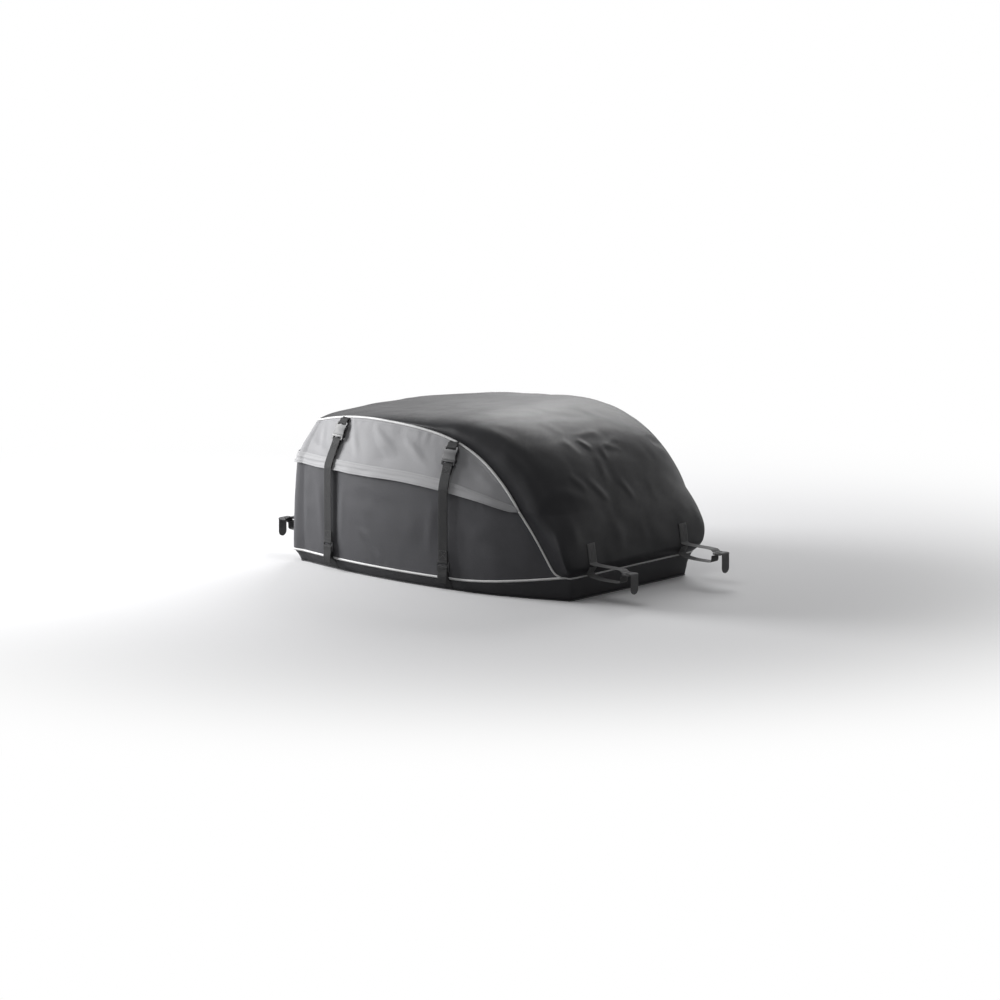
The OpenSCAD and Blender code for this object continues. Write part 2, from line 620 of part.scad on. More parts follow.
module plug(x, side)
    color([0.14, 0.14, 0.15])
        at_buckle(x, side) {
            prong = cavity_t / 2 - plug_play;
            top = body_low - plug_play;
            reach = cavity_w / 2 - plug_play;
            box([-hard_w / 2, -socket_t / 2 + 0.6, top - 4.5], [hard_w / 2, socket_t / 2 - 0.6, top]);
            for (s = [-1, 1]) {
                translate([s * (hard_w / 2 - arm_half), 0, 0])
                    box([-arm_half, -2.6, plug_bar - bar_r], [arm_half, 2.6, top - 4]);
                translate([s * (reach - 4.4), 0, 0])
                    box([-2.2, -prong, top - 1], [2.2, prong, body_low + cavity_l - 5]);
                translate([s * (reach - 3), prong, body_low + cavity_l - 7])
                    rotate([90, 0, 0]) cylinder(h = 2 * prong, r = 3, $fn = 32);
            }
            box([-4, -prong, top - 1], [4, prong, body_low + cavity_l - 3]);
            translate([0, 0, plug_bar]) bar_x(bar_r, hard_w / 2 - 1);
        }

// strap from the plug's bar over the storm flap to the ladder lock, both ends folded back and stitched
module side_strap(x, side)
    color([0.1, 0.1, 0.11])
        at_wall(x, side) {
            y = -strap_stand;
            strip(concat(
                [on_strap(x, [leg, plug_bar - stitch_l]), on_strap(x, [leg, plug_bar - 6])],
                [for (p = arc([0, plug_bar], loop_r, 0, 180, 8)) on_strap(x, p)],
                [on_strap(x, [-leg, plug_bar - 6]), pass_pt(x) + [-0.4, 0],
                 [pass_pt(x)[0] - 0.8, zip_line(x) - 14],
                 [y - leg - 0.6, (zip_line(x) + lock_z) / 2], [y - leg, lock_z + 8]],
                arc([y, lock_z], loop_r, 180, 360, 8),
                [[y + leg, lock_z + 8], [y + leg, lock_z + 6 + stitch_l]]));
        }

// ladder lock, hanging from its hinge bar at the origin
module ladder_lock_at_origin() {
    half = web_w / 2 + 0.8;
    for (s = [-1, 1])
        translate([s * (half + rail_w / 2), 0, 0])
            box([-rail_w / 2, -2, -lock_l - 2], [rail_w / 2, 2, 2.6]);
    bar_x(bar_r, half + 1);
    translate([0, 0, -lock_l]) bar_x(bar_r, half + 1);
    box([-half - 1, -1.4, -lock_l / 2 - 1.6], [half + 1, 1.4, -lock_l / 2 + 1.6]);
}
module side_lock(x, side)
    color([0.14, 0.14, 0.15])
        at_wall(x, side) translate([0, -strap_stand, lock_z]) ladder_lock_at_origin();

mid_r = 1.6 + 0.7 + web_t / 2;
// anchor webbing: sewn to the boxing, up behind the lock, over its middle bar, and a loose tail in front
module anchor_web(x, side)
    color([0.1, 0.1, 0.11])
        at_wall(x, side) {
            y = -strap_stand;
            mid = lock_z - lock_l / 2;
            slope = unit([floor_inset - 0.5, floor_t - foot_z + 0.5]);
            off = [slope[1], -slope[0]] * (web_t / 2 - 0.15);
            foot = [0.5, foot_z - 0.5] + off;
            end = [floor_inset, floor_t] + off - slope * 4;
            strip(concat(
                [end, foot + slope * 14, foot + slope * 8 + [-1.5, 0], [-piping_r - 1.6, foot_z - 2],
                 [-piping_r - 1.8, foot_z + 6], [y + mid_r, mid - 6]],
                arc([y, mid], mid_r, 0, 180, 8),
                [[y - mid_r, mid - lock_l / 2 - 2], [y - mid_r - 0.8, lock_z - lock_l - side_tail / 2],
                 [y - mid_r + 0.6, lock_z - lock_l - side_tail]]));
        }

// Tie downs, front and rear. end is 1 at the nose and -1 at the rear wall.
function end_x(end, z) = end > 0 ? nose_x(z)
    : let (v = tie_y / wall_y(corner_x), k = (z - foot_z) / (zip_z - foot_z))
      (k - 1) * rear_pt(v, 0)[0] - k * rear_pt(v, 0, zip_n)[0];
module at_tie(end, side)
    mirror([end < 0 ? 1 : 0, 0, 0])
        translate([0, side * tie_y + web_w / 2, 0]) rotate([90, 0, 0])
            linear_extrude(web_w) children();
bar_in = half_l + bar_gap;
bar_out = bar_in + bar_w;
bar_low_z = bar_top_z - bar_h;
over = web_t / 2 + 0.8;
tie_lock_x = bar_out + 12;
tie_lock_z = bar_top_z - 8;
sewn = web_t / 2 - 0.15;
// where the lower webbing ends and its loose tail begins
tail_z = bar_top_z - 18;
function on_end(end, zs) = [for (z = zs) [end_x(end, z) + sewn, z]];

// stitched patch, then over the load bar to the hinge bar of the lock
module tie_upper(end, side)
    color([0.1, 0.1, 0.11])
        at_tie(end, side)
            polygon(ribbon(concat(
                on_end(end, [for (k = [0:4]) bar_top_z + 4 + patch_h * (1 - k / 4)]),
                [[bar_in, bar_top_z + over + 0.4], [bar_out - 6, bar_top_z + over],
                 [bar_out + 2, bar_top_z + over - 2.4], [tie_lock_x - 5, tie_lock_z + leg + 1.4]],
                arc([tie_lock_x, tie_lock_z], loop_r, 90, -90, 8),
                [[tie_lock_x - 5, tie_lock_z - leg - 0.4]]), web_t));

// second webbing, sewn on below the patch, under the load bar and up its front
module tie_lower(end, side)
    color([0.1, 0.1, 0.11])
        at_tie(end, side)
            polygon(ribbon(concat(
                on_end(end, [bar_top_z - 4, bar_top_z - 12, nose_foot_z + 4]),
                [[bar_in, bar_low_z - over], [bar_out - 6, bar_low_z - over], [bar_out + 0.6, bar_low_z + 1],
                 [bar_out + over, bar_low_z + 7], [bar_out + over, tail_z]]), web_t));

// loose ends: through the lock, over its middle and end bars, then hanging
module tie_tails()
    color([0.1, 0.1, 0.11])
        for (end = [-1, 1], side = [-1, 1])
            at_tie(end, side) {
                x = tie_lock_x;
                z = tie_lock_z;
                polygon(ribbon([[bar_out + over, tail_z], [bar_out + over, tail_z + 1],
                    [bar_out + over + 1.4, z - 6.6], [x + 3, z - 5.6], [x + 5.4, z - 3], [x + 6.2, z],
                    [x + 8, z + 2.6],
                    [x + lock_l / 2 + 3, z + 3], [x + lock_l, z + loop_r + 0.2], [x + lock_l + 3.4, z + 1.6],
                    [x + lock_l + 4.6, z - 3], [x + lock_l + 4.6, z - tie_tail]], web_t));
            }

module tie_lock(end, side)
    color([0.42, 0.42, 0.43])
        mirror([end < 0 ? 1 : 0, 0, 0])
            translate([tie_lock_x, side * tie_y, tie_lock_z])
                rotate([0, -90, 0]) rotate([0, 0, 90]) ladder_lock_at_origin();

rear_x = -rear_strap_back;
front_x = front_strap_ahead;

floor_panel();
base_boxing();
base_piping();
side_panel();  // side_panel_right
mirror([0, 1, 0]) side_panel();  // side_panel_left
rear_panel();
nose_panel();
nose_piping();  // nose_piping_right
mirror([0, 1, 0]) nose_piping();  // nose_piping_left
zipper_tape(-1);  // zipper_tape_lower
top_panel();
upper_side();  // upper_side_right
mirror([0, 1, 0]) upper_side();  // upper_side_left
upper_rear();
upper_piping();
zipper_tape(1);  // zipper_tape_upper
storm_flap_side();  // storm_flap_right
mirror([0, 1, 0]) storm_flap_side();  // storm_flap_left
flap_binding();
storm_flap_rear();
slider(-1);  // slider_right
slider(1);  // slider_left
zip_pull(-1);  // zip_pull_right
zip_pull(1);  // zip_pull_left
buckle_tabs();
socket(rear_x, -1);  // socket_rear_right
socket(rear_x, 1);  // socket_rear_left
socket(front_x, -1);  // socket_front_right
socket(front_x, 1);  // socket_front_left
plug(rear_x, -1);  // plug_rear_right
plug(rear_x, 1);  // plug_rear_left
plug(front_x, -1);  // plug_front_right
plug(front_x, 1);  // plug_front_left
side_strap(rear_x, -1);  // side_strap_rear_right
side_strap(rear_x, 1);  // side_strap_rear_left
side_strap(front_x, -1);  // side_strap_front_right
side_strap(front_x, 1);  // side_strap_front_left
side_lock(rear_x, -1);  // side_lock_rear_right
side_lock(rear_x, 1);  // side_lock_rear_left
side_lock(front_x, -1);  // side_lock_front_right
side_lock(front_x, 1);  // side_lock_front_left
anchor_web(rear_x, -1);  // anchor_web_rear_right
anchor_web(rear_x, 1);  // anchor_web_rear_left
anchor_web(front_x, -1);  // anchor_web_front_right
anchor_web(front_x, 1);  // anchor_web_front_left
tie_upper(1, -1);  // tie_upper_front_right
tie_upper(1, 1);  // tie_upper_front_left
tie_upper(-1, -1);  // tie_upper_rear_right
tie_upper(-1, 1);  // tie_upper_rear_left
tie_lower(1, -1);  // tie_lower_front_right
tie_lower(1, 1);  // tie_lower_front_left
tie_lower(-1, -1);  // tie_lower_rear_right
tie_lower(-1, 1);  // tie_lower_rear_left
tie_tails();
tie_lock(1, -1);  // tie_lock_front_right
tie_lock(1, 1);  // tie_lock_front_left
tie_lock(-1, -1);  // tie_lock_rear_right
tie_lock(-1, 1);  // tie_lock_rear_left
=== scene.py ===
import bmesh
import bpy
import numpy as np
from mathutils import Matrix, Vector


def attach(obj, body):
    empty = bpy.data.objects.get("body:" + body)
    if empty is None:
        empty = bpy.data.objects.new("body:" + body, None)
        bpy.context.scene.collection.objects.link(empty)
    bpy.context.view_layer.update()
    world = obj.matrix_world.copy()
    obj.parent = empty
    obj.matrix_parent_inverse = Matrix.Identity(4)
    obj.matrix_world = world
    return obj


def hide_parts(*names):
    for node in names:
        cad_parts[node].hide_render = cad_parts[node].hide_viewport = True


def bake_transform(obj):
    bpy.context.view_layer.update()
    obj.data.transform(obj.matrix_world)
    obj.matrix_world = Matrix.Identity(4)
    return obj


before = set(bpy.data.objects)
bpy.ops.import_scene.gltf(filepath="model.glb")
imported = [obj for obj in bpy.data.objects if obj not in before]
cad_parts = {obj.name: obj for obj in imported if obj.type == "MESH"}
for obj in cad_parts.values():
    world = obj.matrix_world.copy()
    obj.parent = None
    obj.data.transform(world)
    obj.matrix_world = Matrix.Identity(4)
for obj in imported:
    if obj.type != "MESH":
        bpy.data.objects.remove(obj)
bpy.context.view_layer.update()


# Camera: off the bag's right front corner, a little above its top, through a long lens,
# so that the long side, the lid and the nose all show.
scene = bpy.context.scene
camera = bpy.data.objects.new("camera", bpy.data.cameras.new("camera"))
scene.collection.objects.link(camera)
camera.location = (7.680, -8.832, 2.285)
camera.rotation_euler = np.radians((79.8, 0, 41))
camera.data.lens = 162
camera.data.sensor_width = 36
camera.data.clip_end = 200
scene.camera = camera
scene.view_settings.view_transform = "Standard"


# Studio: a plain pale floor that keeps the bag's soft shadow and turns white further out, and sends little
# light back up. A softbox stands low behind the bag's right rear corner, a wide one hangs over its far
# side, and two weak ones fill from above and from the far side.
def stacked(*axes):
    """Points with these coordinates, each of them an array or one number."""
    return np.stack(np.broadcast_arrays(*axes), axis=-1)


def joined(*parts):
    """Parts of a path or of a grid's rows, one after another."""
    return np.concatenate(parts)


def lengths(grid, axis=0):
    """Distance run to each point from the first one, along a path or one axis of a grid."""
    steps = np.linalg.norm(np.diff(grid, axis=axis), axis=-1)
    return np.insert(np.cumsum(steps, axis=axis), 0, 0, axis=axis)


def mesh_piece(name, points, loops, totals, uv=None):
    """Object made from whole arrays: its points, the corners of its faces one after another, the number
    of corners of each face, and the UV of each corner."""
    mesh = bpy.data.meshes.new(name)
    mesh.vertices.add(len(points))
    mesh.vertices.foreach_set("co", np.ascontiguousarray(points, np.float32).ravel())
    mesh.loops.add(len(loops))
    mesh.loops.foreach_set("vertex_index", np.ascontiguousarray(loops, np.int32))
    mesh.polygons.add(len(totals))
    mesh.polygons.foreach_set("loop_start", joined([0], np.cumsum(totals)[:-1]).astype(np.int32))
    mesh.polygons.foreach_set("use_smooth", np.ones(len(totals), bool))
    if uv is not None:
        layer = mesh.uv_layers.new(name="UVMap")
        layer.data.foreach_set("uv", np.ascontiguousarray(uv, np.float32).ravel())
    mesh.update(calc_edges=True)
    mesh.validate()
    piece = bpy.data.objects.new(name, mesh)
    scene.collection.objects.link(piece)
    return piece


def surface(name, grid, around=False, caps="", flip=False):
    """Mesh of a grid of points, rows by columns, with one square face to a cell. around joins the last
    column to the first and caps names the rows to close, "first", "last" or "first last". Its UV map holds,
    in metres, the length along each row from its middle and along each column from its first row."""
    rows, cols = grid.shape[:2]
    wide = grid[:, np.arange(cols + around) % cols]
    uv_grid = stacked(lengths(wide, 1) - lengths(wide, 1)[:, [wide.shape[1] // 2]], lengths(wide))
    i, j = np.meshgrid(np.arange(rows - 1), np.arange(wide.shape[1] - 1), indexing="ij")
    corner_i = stacked(i, i + 1, i + 1, i).reshape(-1, 4)
    corner_j = stacked(j, j, j + 1, j + 1).reshape(-1, 4)
    if flip:
        corner_i, corner_j = corner_i[:, ::-1], corner_j[:, ::-1]
    loops = (corner_i * cols + corner_j % cols).ravel()
    uv = uv_grid[corner_i, corner_j].reshape(-1, 2)
    totals = np.full(len(corner_i), 4)
    for i in [0] * ("first" in caps) + [rows - 1] * ("last" in caps):
        rim = np.arange(cols)[:: 1 if (i == 0) != flip else -1]
        loops = joined(loops, i * cols + rim)
        uv = joined(uv, uv_grid[i, rim])
        totals = np.append(totals, cols)
    return mesh_piece(name, grid.reshape(-1, 3), loops, totals, uv)


def node(tree, kind, inputs=None, **settings):
    """Adds a shader node, gives it its settings, and fills its inputs: a socket is linked, a value is set."""
    made = tree.nodes.new("ShaderNode" + kind)
    for key, value in settings.items():
        setattr(made, key, value)
    for key, value in (inputs or {}).items():
        if isinstance(value, bpy.types.NodeSocket):
            tree.links.new(value, made.inputs[key])
        else:
            made.inputs[key].default_value = value
    return made


def sums(tree, operation, *values):
    """Output of a Math node with these inputs."""
    return node(tree, "Math", dict(enumerate(values)), operation=operation).outputs[0]


def mixed(tree, share, dark, light):
    """Colour between two others: the dark one at a share of 0, the light one at 1."""
    return node(tree, "Mix", {0: share, 6: (*dark, 1), 7: (*light, 1)}, data_type="RGBA").outputs[2]


def scaled(tree, value, low=0.0, high=1.0, start=0.0, end=1.0, **settings):
    """A value between start and end turned into one between low and high."""
    limits = {"Value": value, "From Min": start, "From Max": end, "To Min": low, "To Max": high}
    return node(tree, "MapRange", limits, **settings).outputs[0]


def object_place(tree):
    """Place on the object, which doesn't move with its pose."""
    return node(tree, "TexCoord").outputs["Object"]


def direct_sight(tree):
    """1 for what the camera sees straight, mirrored or through glass, 0 for light from lamps and bounces."""
    sight = node(tree, "LightPath").outputs
    seen = sums(tree, "MAXIMUM", sight["Is Camera Ray"], sight["Is Glossy Ray"])
    return sums(tree, "MAXIMUM", seen, sight["Is Transmission Ray"])


def blank_material(name):
    """A material with no nodes, and its node tree."""
    material = bpy.data.materials.new(name)
    material.use_nodes = True
    material.node_tree.nodes.clear()
    return material, material.node_tree


def into_output(tree, shader, kind="Material"):
    """Links a shader to the tree's output."""
    tree.links.new(shader.outputs[0], node(tree, "Output" + kind).inputs["Surface"])


floor_r = joined(np.linspace(0.02, 3, 40), np.linspace(3.5, 60, 30))[:, None]
turn = np.linspace(0, 2 * np.pi, 97)[None, :-1]
floor_grid = stacked(floor_r * np.cos(turn), floor_r * np.sin(turn), 0)
studio_floor = surface("studio_floor", floor_grid, around=True, caps="first")
floor_paint, tree = blank_material("pale_floor")
far = node(tree, "VectorMath", {0: object_place(tree)}, operation="LENGTH").outputs["Value"]
white_out = scaled(tree, far, start=0.7, end=2.4, interpolation_type="SMOOTHERSTEP")
seen = direct_sight(tree)
shade = mixed(tree, seen, (0.22, 0.22, 0.22), (0.70, 0.70, 0.71))
matt = node(tree, "BsdfPrincipled", {"Base Color": shade, "Roughness": 0.8}).outputs[0]
white = node(tree, "Emission", {"Color": (1, 1, 1, 1), "Strength": 1.0}).outputs[0]
into_output(tree, node(tree, "MixShader", {0: sums(tree, "MULTIPLY", white_out, seen), 1: matt, 2: white}))
studio_floor.data.materials.append(floor_paint)

scene.world = bpy.data.worlds.new("studio")
scene.world.use_nodes = True
tree = scene.world.node_tree
tree.nodes.clear()
sky = {"Color": (1, 1, 1, 1), "Strength": scaled(tree, direct_sight(tree), 0.15, 1.0)}
into_output(tree, node(tree, "Background", sky), "World")

for name, place, aim, width, height, power in (
    ("rear_side_box", (-2.4, -1.15, 1.0), (-0.4, -0.2, 0.2), 1.1, 1.1, 115),
    ("overhead_box", (-1.1, 2.4, 2.0), (0.1, 0, 0.4), 2.0, 1.3, 54),
    ("high_fill", (0.5, -1.4, 3.0), (0.1, -0.2, 0.3), 1.6, 1.2, 15),
    ("far_side_box", (0.9, 3.0, 0.8), (0.4, 0.2, 0.2), 1.2, 1.2, 10),
):
    lamp = bpy.data.lights.new(name, "AREA")
    lamp.shape = "RECTANGLE"
    lamp.size = width
    lamp.size_y = height
    lamp.energy = power
    holder = bpy.data.objects.new(name, lamp)
    scene.collection.objects.link(holder)
    holder.location = place
    holder.rotation_euler = (Vector(aim) - Vector(place)).to_track_quat("-Z", "Y").to_euler()
    holder.visible_camera = False


# Floor and boxing: dark coated polyester with a non-slip print under the flat floor. The boxing
# leans in from the piped foot seam to the floor's edge, which is turned in and stitched.
half_l = 0.482
half_w = 0.341
bag_height = 0.447
crest_ahead = 0.105
panel_t = 0.003
rear_corner = 0.057
foot_z = 0.033
nose_foot_z = 0.064
floor_inset = 0.016
corner_x = -half_l + rear_corner
widest_back = 0.045
side_arc_r = 1.724
draw_in = 0.022
draw_start_x = half_l - 0.232
draw_end_x = half_l - 0.042
draw_run = 0.190
draw_ease = 0.02
arch_x0 = -0.365
arch_reach = 0.777
arch_foot = 0.062
arch_rise = 0.350
arch_soft = 0.024
tuck_z = 0.092
rear_foot_n = 9
nose_foot_n = 10
profile_up = 2.4
profile_on = 2.1
seam_gap = 0.0005


def ramp(x, low, high):
    """0 below low, 1 above high and a straight line between."""
    return np.clip((x - low) / (high - low), 0, 1)


def fill(v, n):
    """Fullness of a row across the bag, 0 at both ends: the n-th root of 1 minus v to the n."""
    return np.maximum(0, 1 - np.abs(v) ** n) ** (1 / n)


def wall_y(x):
    """Half width of the bag: a bowed arc, drawn in evenly towards the nose with soft ends to the slope."""
    bow = side_arc_r - np.sqrt(side_arc_r**2 - (x + widest_back) ** 2)
    ahead, past = x - draw_start_x, x - draw_end_x
    eased = (ahead + np.sqrt(ahead**2 + draw_ease**2)) / 2 - (past + np.sqrt(past**2 + draw_ease**2)) / 2
    return half_w - bow - draw_in * eased / draw_run


def arch_x(z):
    """Where the arched seam is at height z, the reverse of arch_z in front of its sag."""
    up = z - arch_foot
    return arch_x0 + arch_reach * (1 - (up - arch_soft**2 / (4 * up)) / arch_rise) ** (1 / 5)


nose_end_x = arch_x(nose_foot_z)


def foot_line(x):
    """Height of the piped foot seam: level along the sides, climbing to the foot of the nose."""
    return foot_z + (nose_foot_z - foot_z) * ramp(x, 0.150, nose_end_x) ** 1.5


def crest_x(z):
    """Where the front of the middle profile is at height z, a superellipse that falls from the crest."""
    return crest_ahead + (half_l - crest_ahead) * (1 - (z / bag_height) ** profile_up) ** (1 / profile_on)


def bulge_front(z):
    """Profile of the nose in the middle of the bag: a full curve that tucks in again below its bulge."""
    tuck = 0.018 * (np.maximum(tuck_z - z, 0) / (tuck_z - nose_foot_z)) ** 2
    return crest_x(np.maximum(z, tuck_z)) - tuck


def rear_wall(v, n, inset=0.0):
    """Plan of the rear wall with its two corners, for v from -1 on the right to 1 on the left."""
    return stacked(corner_x - (rear_corner - inset) * fill(v, n), v * (wall_y(corner_x) - inset))


def raised(plan, z):
    """Points of a plan, [x, y], at height z."""
    return stacked(plan[..., 0], plan[..., 1], z)


def mirrored(grid, side=1):
    """The same points on the bag's right (side -1) or left (side 1), made for its right."""
    return grid * [1, -side, 1]


def spread(count):
    """Stations from -1 to 1 that crowd together at both ends."""
    return np.sin(np.linspace(-np.pi / 2, np.pi / 2, count))


def read_off(at, run, rows):
    """Rows of values at the distances at, between those that are known at the distances run."""
    return stacked(*[np.interp(at, run, column) for column in rows.T])


def paced(path, count):
    """The same path with that many points, evenly spaced along it."""
    run = lengths(path)
    return read_off(np.linspace(0, run[-1], count), run, path)


def evenly(path, step, closed=False):
    """The same path with its points a step apart."""
    if closed:
        path = joined(path, path[:1])
    even = paced(path, max(int(round(lengths(path)[-1] / step)), 2) + 1)
    return even[:-1] if closed else even


def foot_loop(inset):
    """The foot seam from the right front corner round the back, moved in by inset: [x, y, z]."""
    x = np.linspace(nose_end_x, corner_x, 160)
    right = stacked(x, inset - wall_y(x), foot_line(x))
    v = spread(240)[1:-1]
    out = nose_end_x + (bulge_front(nose_foot_z) - nose_end_x - inset) * fill(v, nose_foot_n)
    front = stacked(out, -v * (wall_y(nose_end_x) - inset), nose_foot_z)
    return joined(right, raised(rear_wall(v, rear_foot_n, inset), foot_z), mirrored(right)[::-1], front)


def unit(vectors):
    """The same directions, one long."""
    return vectors / np.maximum(np.linalg.norm(vectors, axis=-1, keepdims=True), 1e-12)


def steps(grid, axis, closed=False):
    """Direction from the point before to the point after, along one axis of a grid."""
    return np.roll(grid, -1, axis) - np.roll(grid, 1, axis) if closed else np.gradient(grid, axis=axis)


def outwards(grid, around=False):
    """Unit normals of a grid of points, by the cross product of its row and column directions."""
    return unit(np.cross(steps(grid, 0), steps(grid, 1, around)))


def walled(piece, cloth, lined=True):
    """Gives a sewn panel its cloth and its thickness inwards, with the lining on its inner face."""
    piece.data.materials.append(cloth)
    if lined:
        piece.data.materials.append(lining)
    wall = piece.modifiers.new("thickness", "SOLIDIFY")
    wall.thickness = panel_t
    wall.offset = -1
    wall.use_even_offset = False
    wall.use_rim = True
    wall.material_offset = int(lined)
    return piece


def sewn(piece, body, slot_name, *nodes, cloth=None):
    """The piece moves with that body and stands for those CAD nodes; slot_name is not used."""
    if cloth:
        piece.data.materials.append(cloth)
    if body:
        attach(piece, body)
    if nodes:
        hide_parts(*nodes)
    return piece


def noise(tree, place, scale, detail, **more):
    """Value of a noise texture."""
    return node(tree, "TexNoise", {"Vector": place, "Scale": scale, "Detail": detail, **more}).outputs[0]


def cloth_place(tree):
    """Place on the cloth, in metres."""
    return node(tree, "UVMap", uv_map="UVMap").outputs[0]


def finished(material, colour, rough, height=None, **more):
    """Closes a material with one shader of that colour and roughness, in relief by a height in metres."""
    tree = material.node_tree
    inputs = {"Base Color": colour, "Roughness": rough, **more}
    if height:
        inputs["Normal"] = node(tree, "Bump", {"Height": height, "Distance": 1.0}).outputs[0]
    into_output(tree, node(tree, "BsdfPrincipled", inputs))
    return material


# plain weave seen through a thin coating, with soft crumples and uneven dye
woven_cloth = bpy.data.node_groups.new("woven_cloth", "ShaderNodeTree")
for label in ("Cloth", "Place"):
    woven_cloth.interface.new_socket(label, in_out="INPUT", socket_type="NodeSocketVector")
for label, default in (("Yarn", 0.0012), ("Relief", 0.00006), ("Crumple", 0.0008)):
    socket = woven_cloth.interface.new_socket(label, in_out="INPUT", socket_type="NodeSocketFloat")
    socket.default_value = default
for label in ("Tone", "Height"):
    woven_cloth.interface.new_socket(label, in_out="OUTPUT", socket_type="NodeSocketFloat")
tree = woven_cloth
given = tree.nodes.new("NodeGroupInput").outputs
result = tree.nodes.new("NodeGroupOutput").inputs
yarns = []
for way in node(tree, "SeparateXYZ", {0: given["Cloth"]}).outputs[:2]:
    turns = sums(tree, "DIVIDE", sums(tree, "MULTIPLY", way, 2 * np.pi), given["Yarn"])
    yarns.append(sums(tree, "SINE", turns))
over = sums(tree, "MULTIPLY", *yarns)
soft = noise(tree, given["Place"], 14.0, 3.0, Roughness=0.45)
dye = noise(tree, given["Place"], 5.0, 2.0)
slub = noise(tree, given["Cloth"], 260.0, 2.0)
relief = sums(tree, "MULTIPLY", over, given["Relief"])
tree.links.new(sums(tree, "MULTIPLY_ADD", soft, given["Crumple"], relief), result["Height"])
tone = sums(tree, "MULTIPLY_ADD", over, 0.10, dye)
tone = sums(tree, "MULTIPLY_ADD", sums(tree, "SUBTRACT", slub, 0.5), 0.35, tone)
tree.links.new(tone, result["Tone"])


def coated_cloth(
    name, colour, rough, gloss, relief=0.00006, crumple=0.0008, yarn=0.0012, sheen=0.0, uneven=0.16
):
    """Coated polyester: woven tone and relief from the cloth's own chart, softer crumples from its place."""
    material, tree = blank_material(name)
    given = {"Cloth": cloth_place(tree), "Place": object_place(tree), "Yarn": yarn}
    given |= {"Relief": relief, "Crumple": crumple}
    weave = node(tree, "Group", given, node_tree=woven_cloth).outputs
    tone = mixed(tree, weave["Tone"], np.multiply(colour, 1 - uneven), np.multiply(colour, 1 + uneven))
    shine = scaled(tree, weave["Tone"], rough + 0.06, rough - 0.06)
    more = {"Sheen Weight": sheen, "Sheen Roughness": 0.4, "Specular IOR Level": gloss}
    return finished(material, tone, shine, weave["Height"], **more)


lining = coated_cloth("grey_lining", (0.10, 0.10, 0.105), 0.6, 0.25, relief=0.00004)
base_cloth = coated_cloth("base_cloth", (0.035, 0.035, 0.038), 0.62, 0.25)

ring = evenly(foot_loop(seam_gap), 0.005, closed=True)
low_ring = evenly(foot_loop(floor_inset), 0.005, closed=True)
low_at = np.linspace(0, len(low_ring), len(ring), endpoint=False)
low_even = read_off(low_at, np.arange(len(low_ring) + 1), joined(low_ring, low_ring[:1]))
low_even[:, 2] = panel_t
up = np.linspace(0, 1, 9)[:, None, None]
boxing_grid = low_even[None] + (ring - [0, 0, seam_gap] - low_even)[None] * up
boxing_grid += outwards(boxing_grid, around=True) * 0.0015 * np.sin(np.pi * up)
boxing = walled(surface("boxing", boxing_grid, around=True), base_cloth)
sewn(boxing, "tub", "base_fabric", "base_boxing")

inner = joined(np.linspace(1, 0.9, 6), np.linspace(0.85, 0.03, 22))[:, None, None]
edge = evenly(foot_loop(floor_inset - 0.001), 0.01, closed=True) * [1, 1, 0]
floor_panel = surface("floor_panel_cloth", edge[None] * inner, around=True, caps="last", flip=True)
sewn(walled(floor_panel, base_cloth, lined=False), "tub", "base_fabric", "floor_panel")


# Piping of the foot seam: a cord wrapped in near-white reflective tape, caught between the boxing
# and the walls and stitched all round.
piping_r = 0.004
cord_r = 0.0033


def tangents(path, closed=False):
    """Unit directions of a path, each from the point before to the point after."""
    return unit(steps(path, 0, closed))


def swept(name, path, section, side, out, closed=False, flip=True):
    """Carries a section (points of [sideways, outwards]) along a path: each point is the path's plus its
    two distances along the side and out directions there."""
    grid = path[:, None] + section[..., :1] * side[:, None] + section[..., 1:] * out[:, None]
    if closed:
        grid = joined(grid, grid[:1])
    return surface(name, grid, around=True, caps="" if closed else "first last", flip=flip)


def round_cord(name, path, closed=False):
    """A round cord: a circle square to the path at every point."""
    way = tangents(path, closed)
    side = unit(np.cross(way, [0, 0, 1]))
    turn = np.linspace(0, 2 * np.pi, 14, endpoint=False)
    circle = cord_r * stacked(np.cos(turn), np.sin(turn))
    return swept(name, path, circle, side, np.cross(way, side), closed)


# tape round a cord: fine slanting puckers, faint grime and a soft sheen
piping_tape, tree = blank_material("piping_tape")
cut = node(tree, "SeparateXYZ", {0: cloth_place(tree)}).outputs
slant = sums(tree, "MULTIPLY_ADD", cut[0], 0.6, cut[1])
pucker = sums(tree, "SINE", sums(tree, "MULTIPLY", slant, 2 * np.pi / 0.006))
grime = noise(tree, object_place(tree), 30.0, 3.0)
tone = mixed(tree, grime, (0.48, 0.48, 0.48), (0.74, 0.74, 0.74))
finished(piping_tape, tone, 0.42, sums(tree, "MULTIPLY", pucker, 0.00004), **{"Sheen Weight": 0.1})

foot_path = evenly(foot_loop(0.001), 0.004, closed=True)
foot_path = (np.roll(foot_path, 1, axis=0) + 2 * foot_path + np.roll(foot_path, -1, axis=0)) / 4
foot_cord = round_cord("foot_seam_piping", foot_path, closed=True)
sewn(foot_cord, "tub", "piping", "base_piping", cloth=piping_tape)


# Lower walls: dark grey coated polyester, one panel on each side that runs round its rear corner
# to an upright seam, and a rear panel between. They bulge a little and dent under the side straps.
lower_cloth = coated_cloth("lower_cloth", (0.085, 0.085, 0.092), 0.55, 0.12)
both_sides = ((-1, "right"), (1, "left"))
zip_z = 0.279
tip_z = 0.226
zip_gap = 0.008
zip_n = 4.2
tip_x = arch_x(tip_z)
rear_seam_y = 0.230
strap_x = np.array([-0.308, 0.107])
tie_y = 0.186
seam_in = 0.002
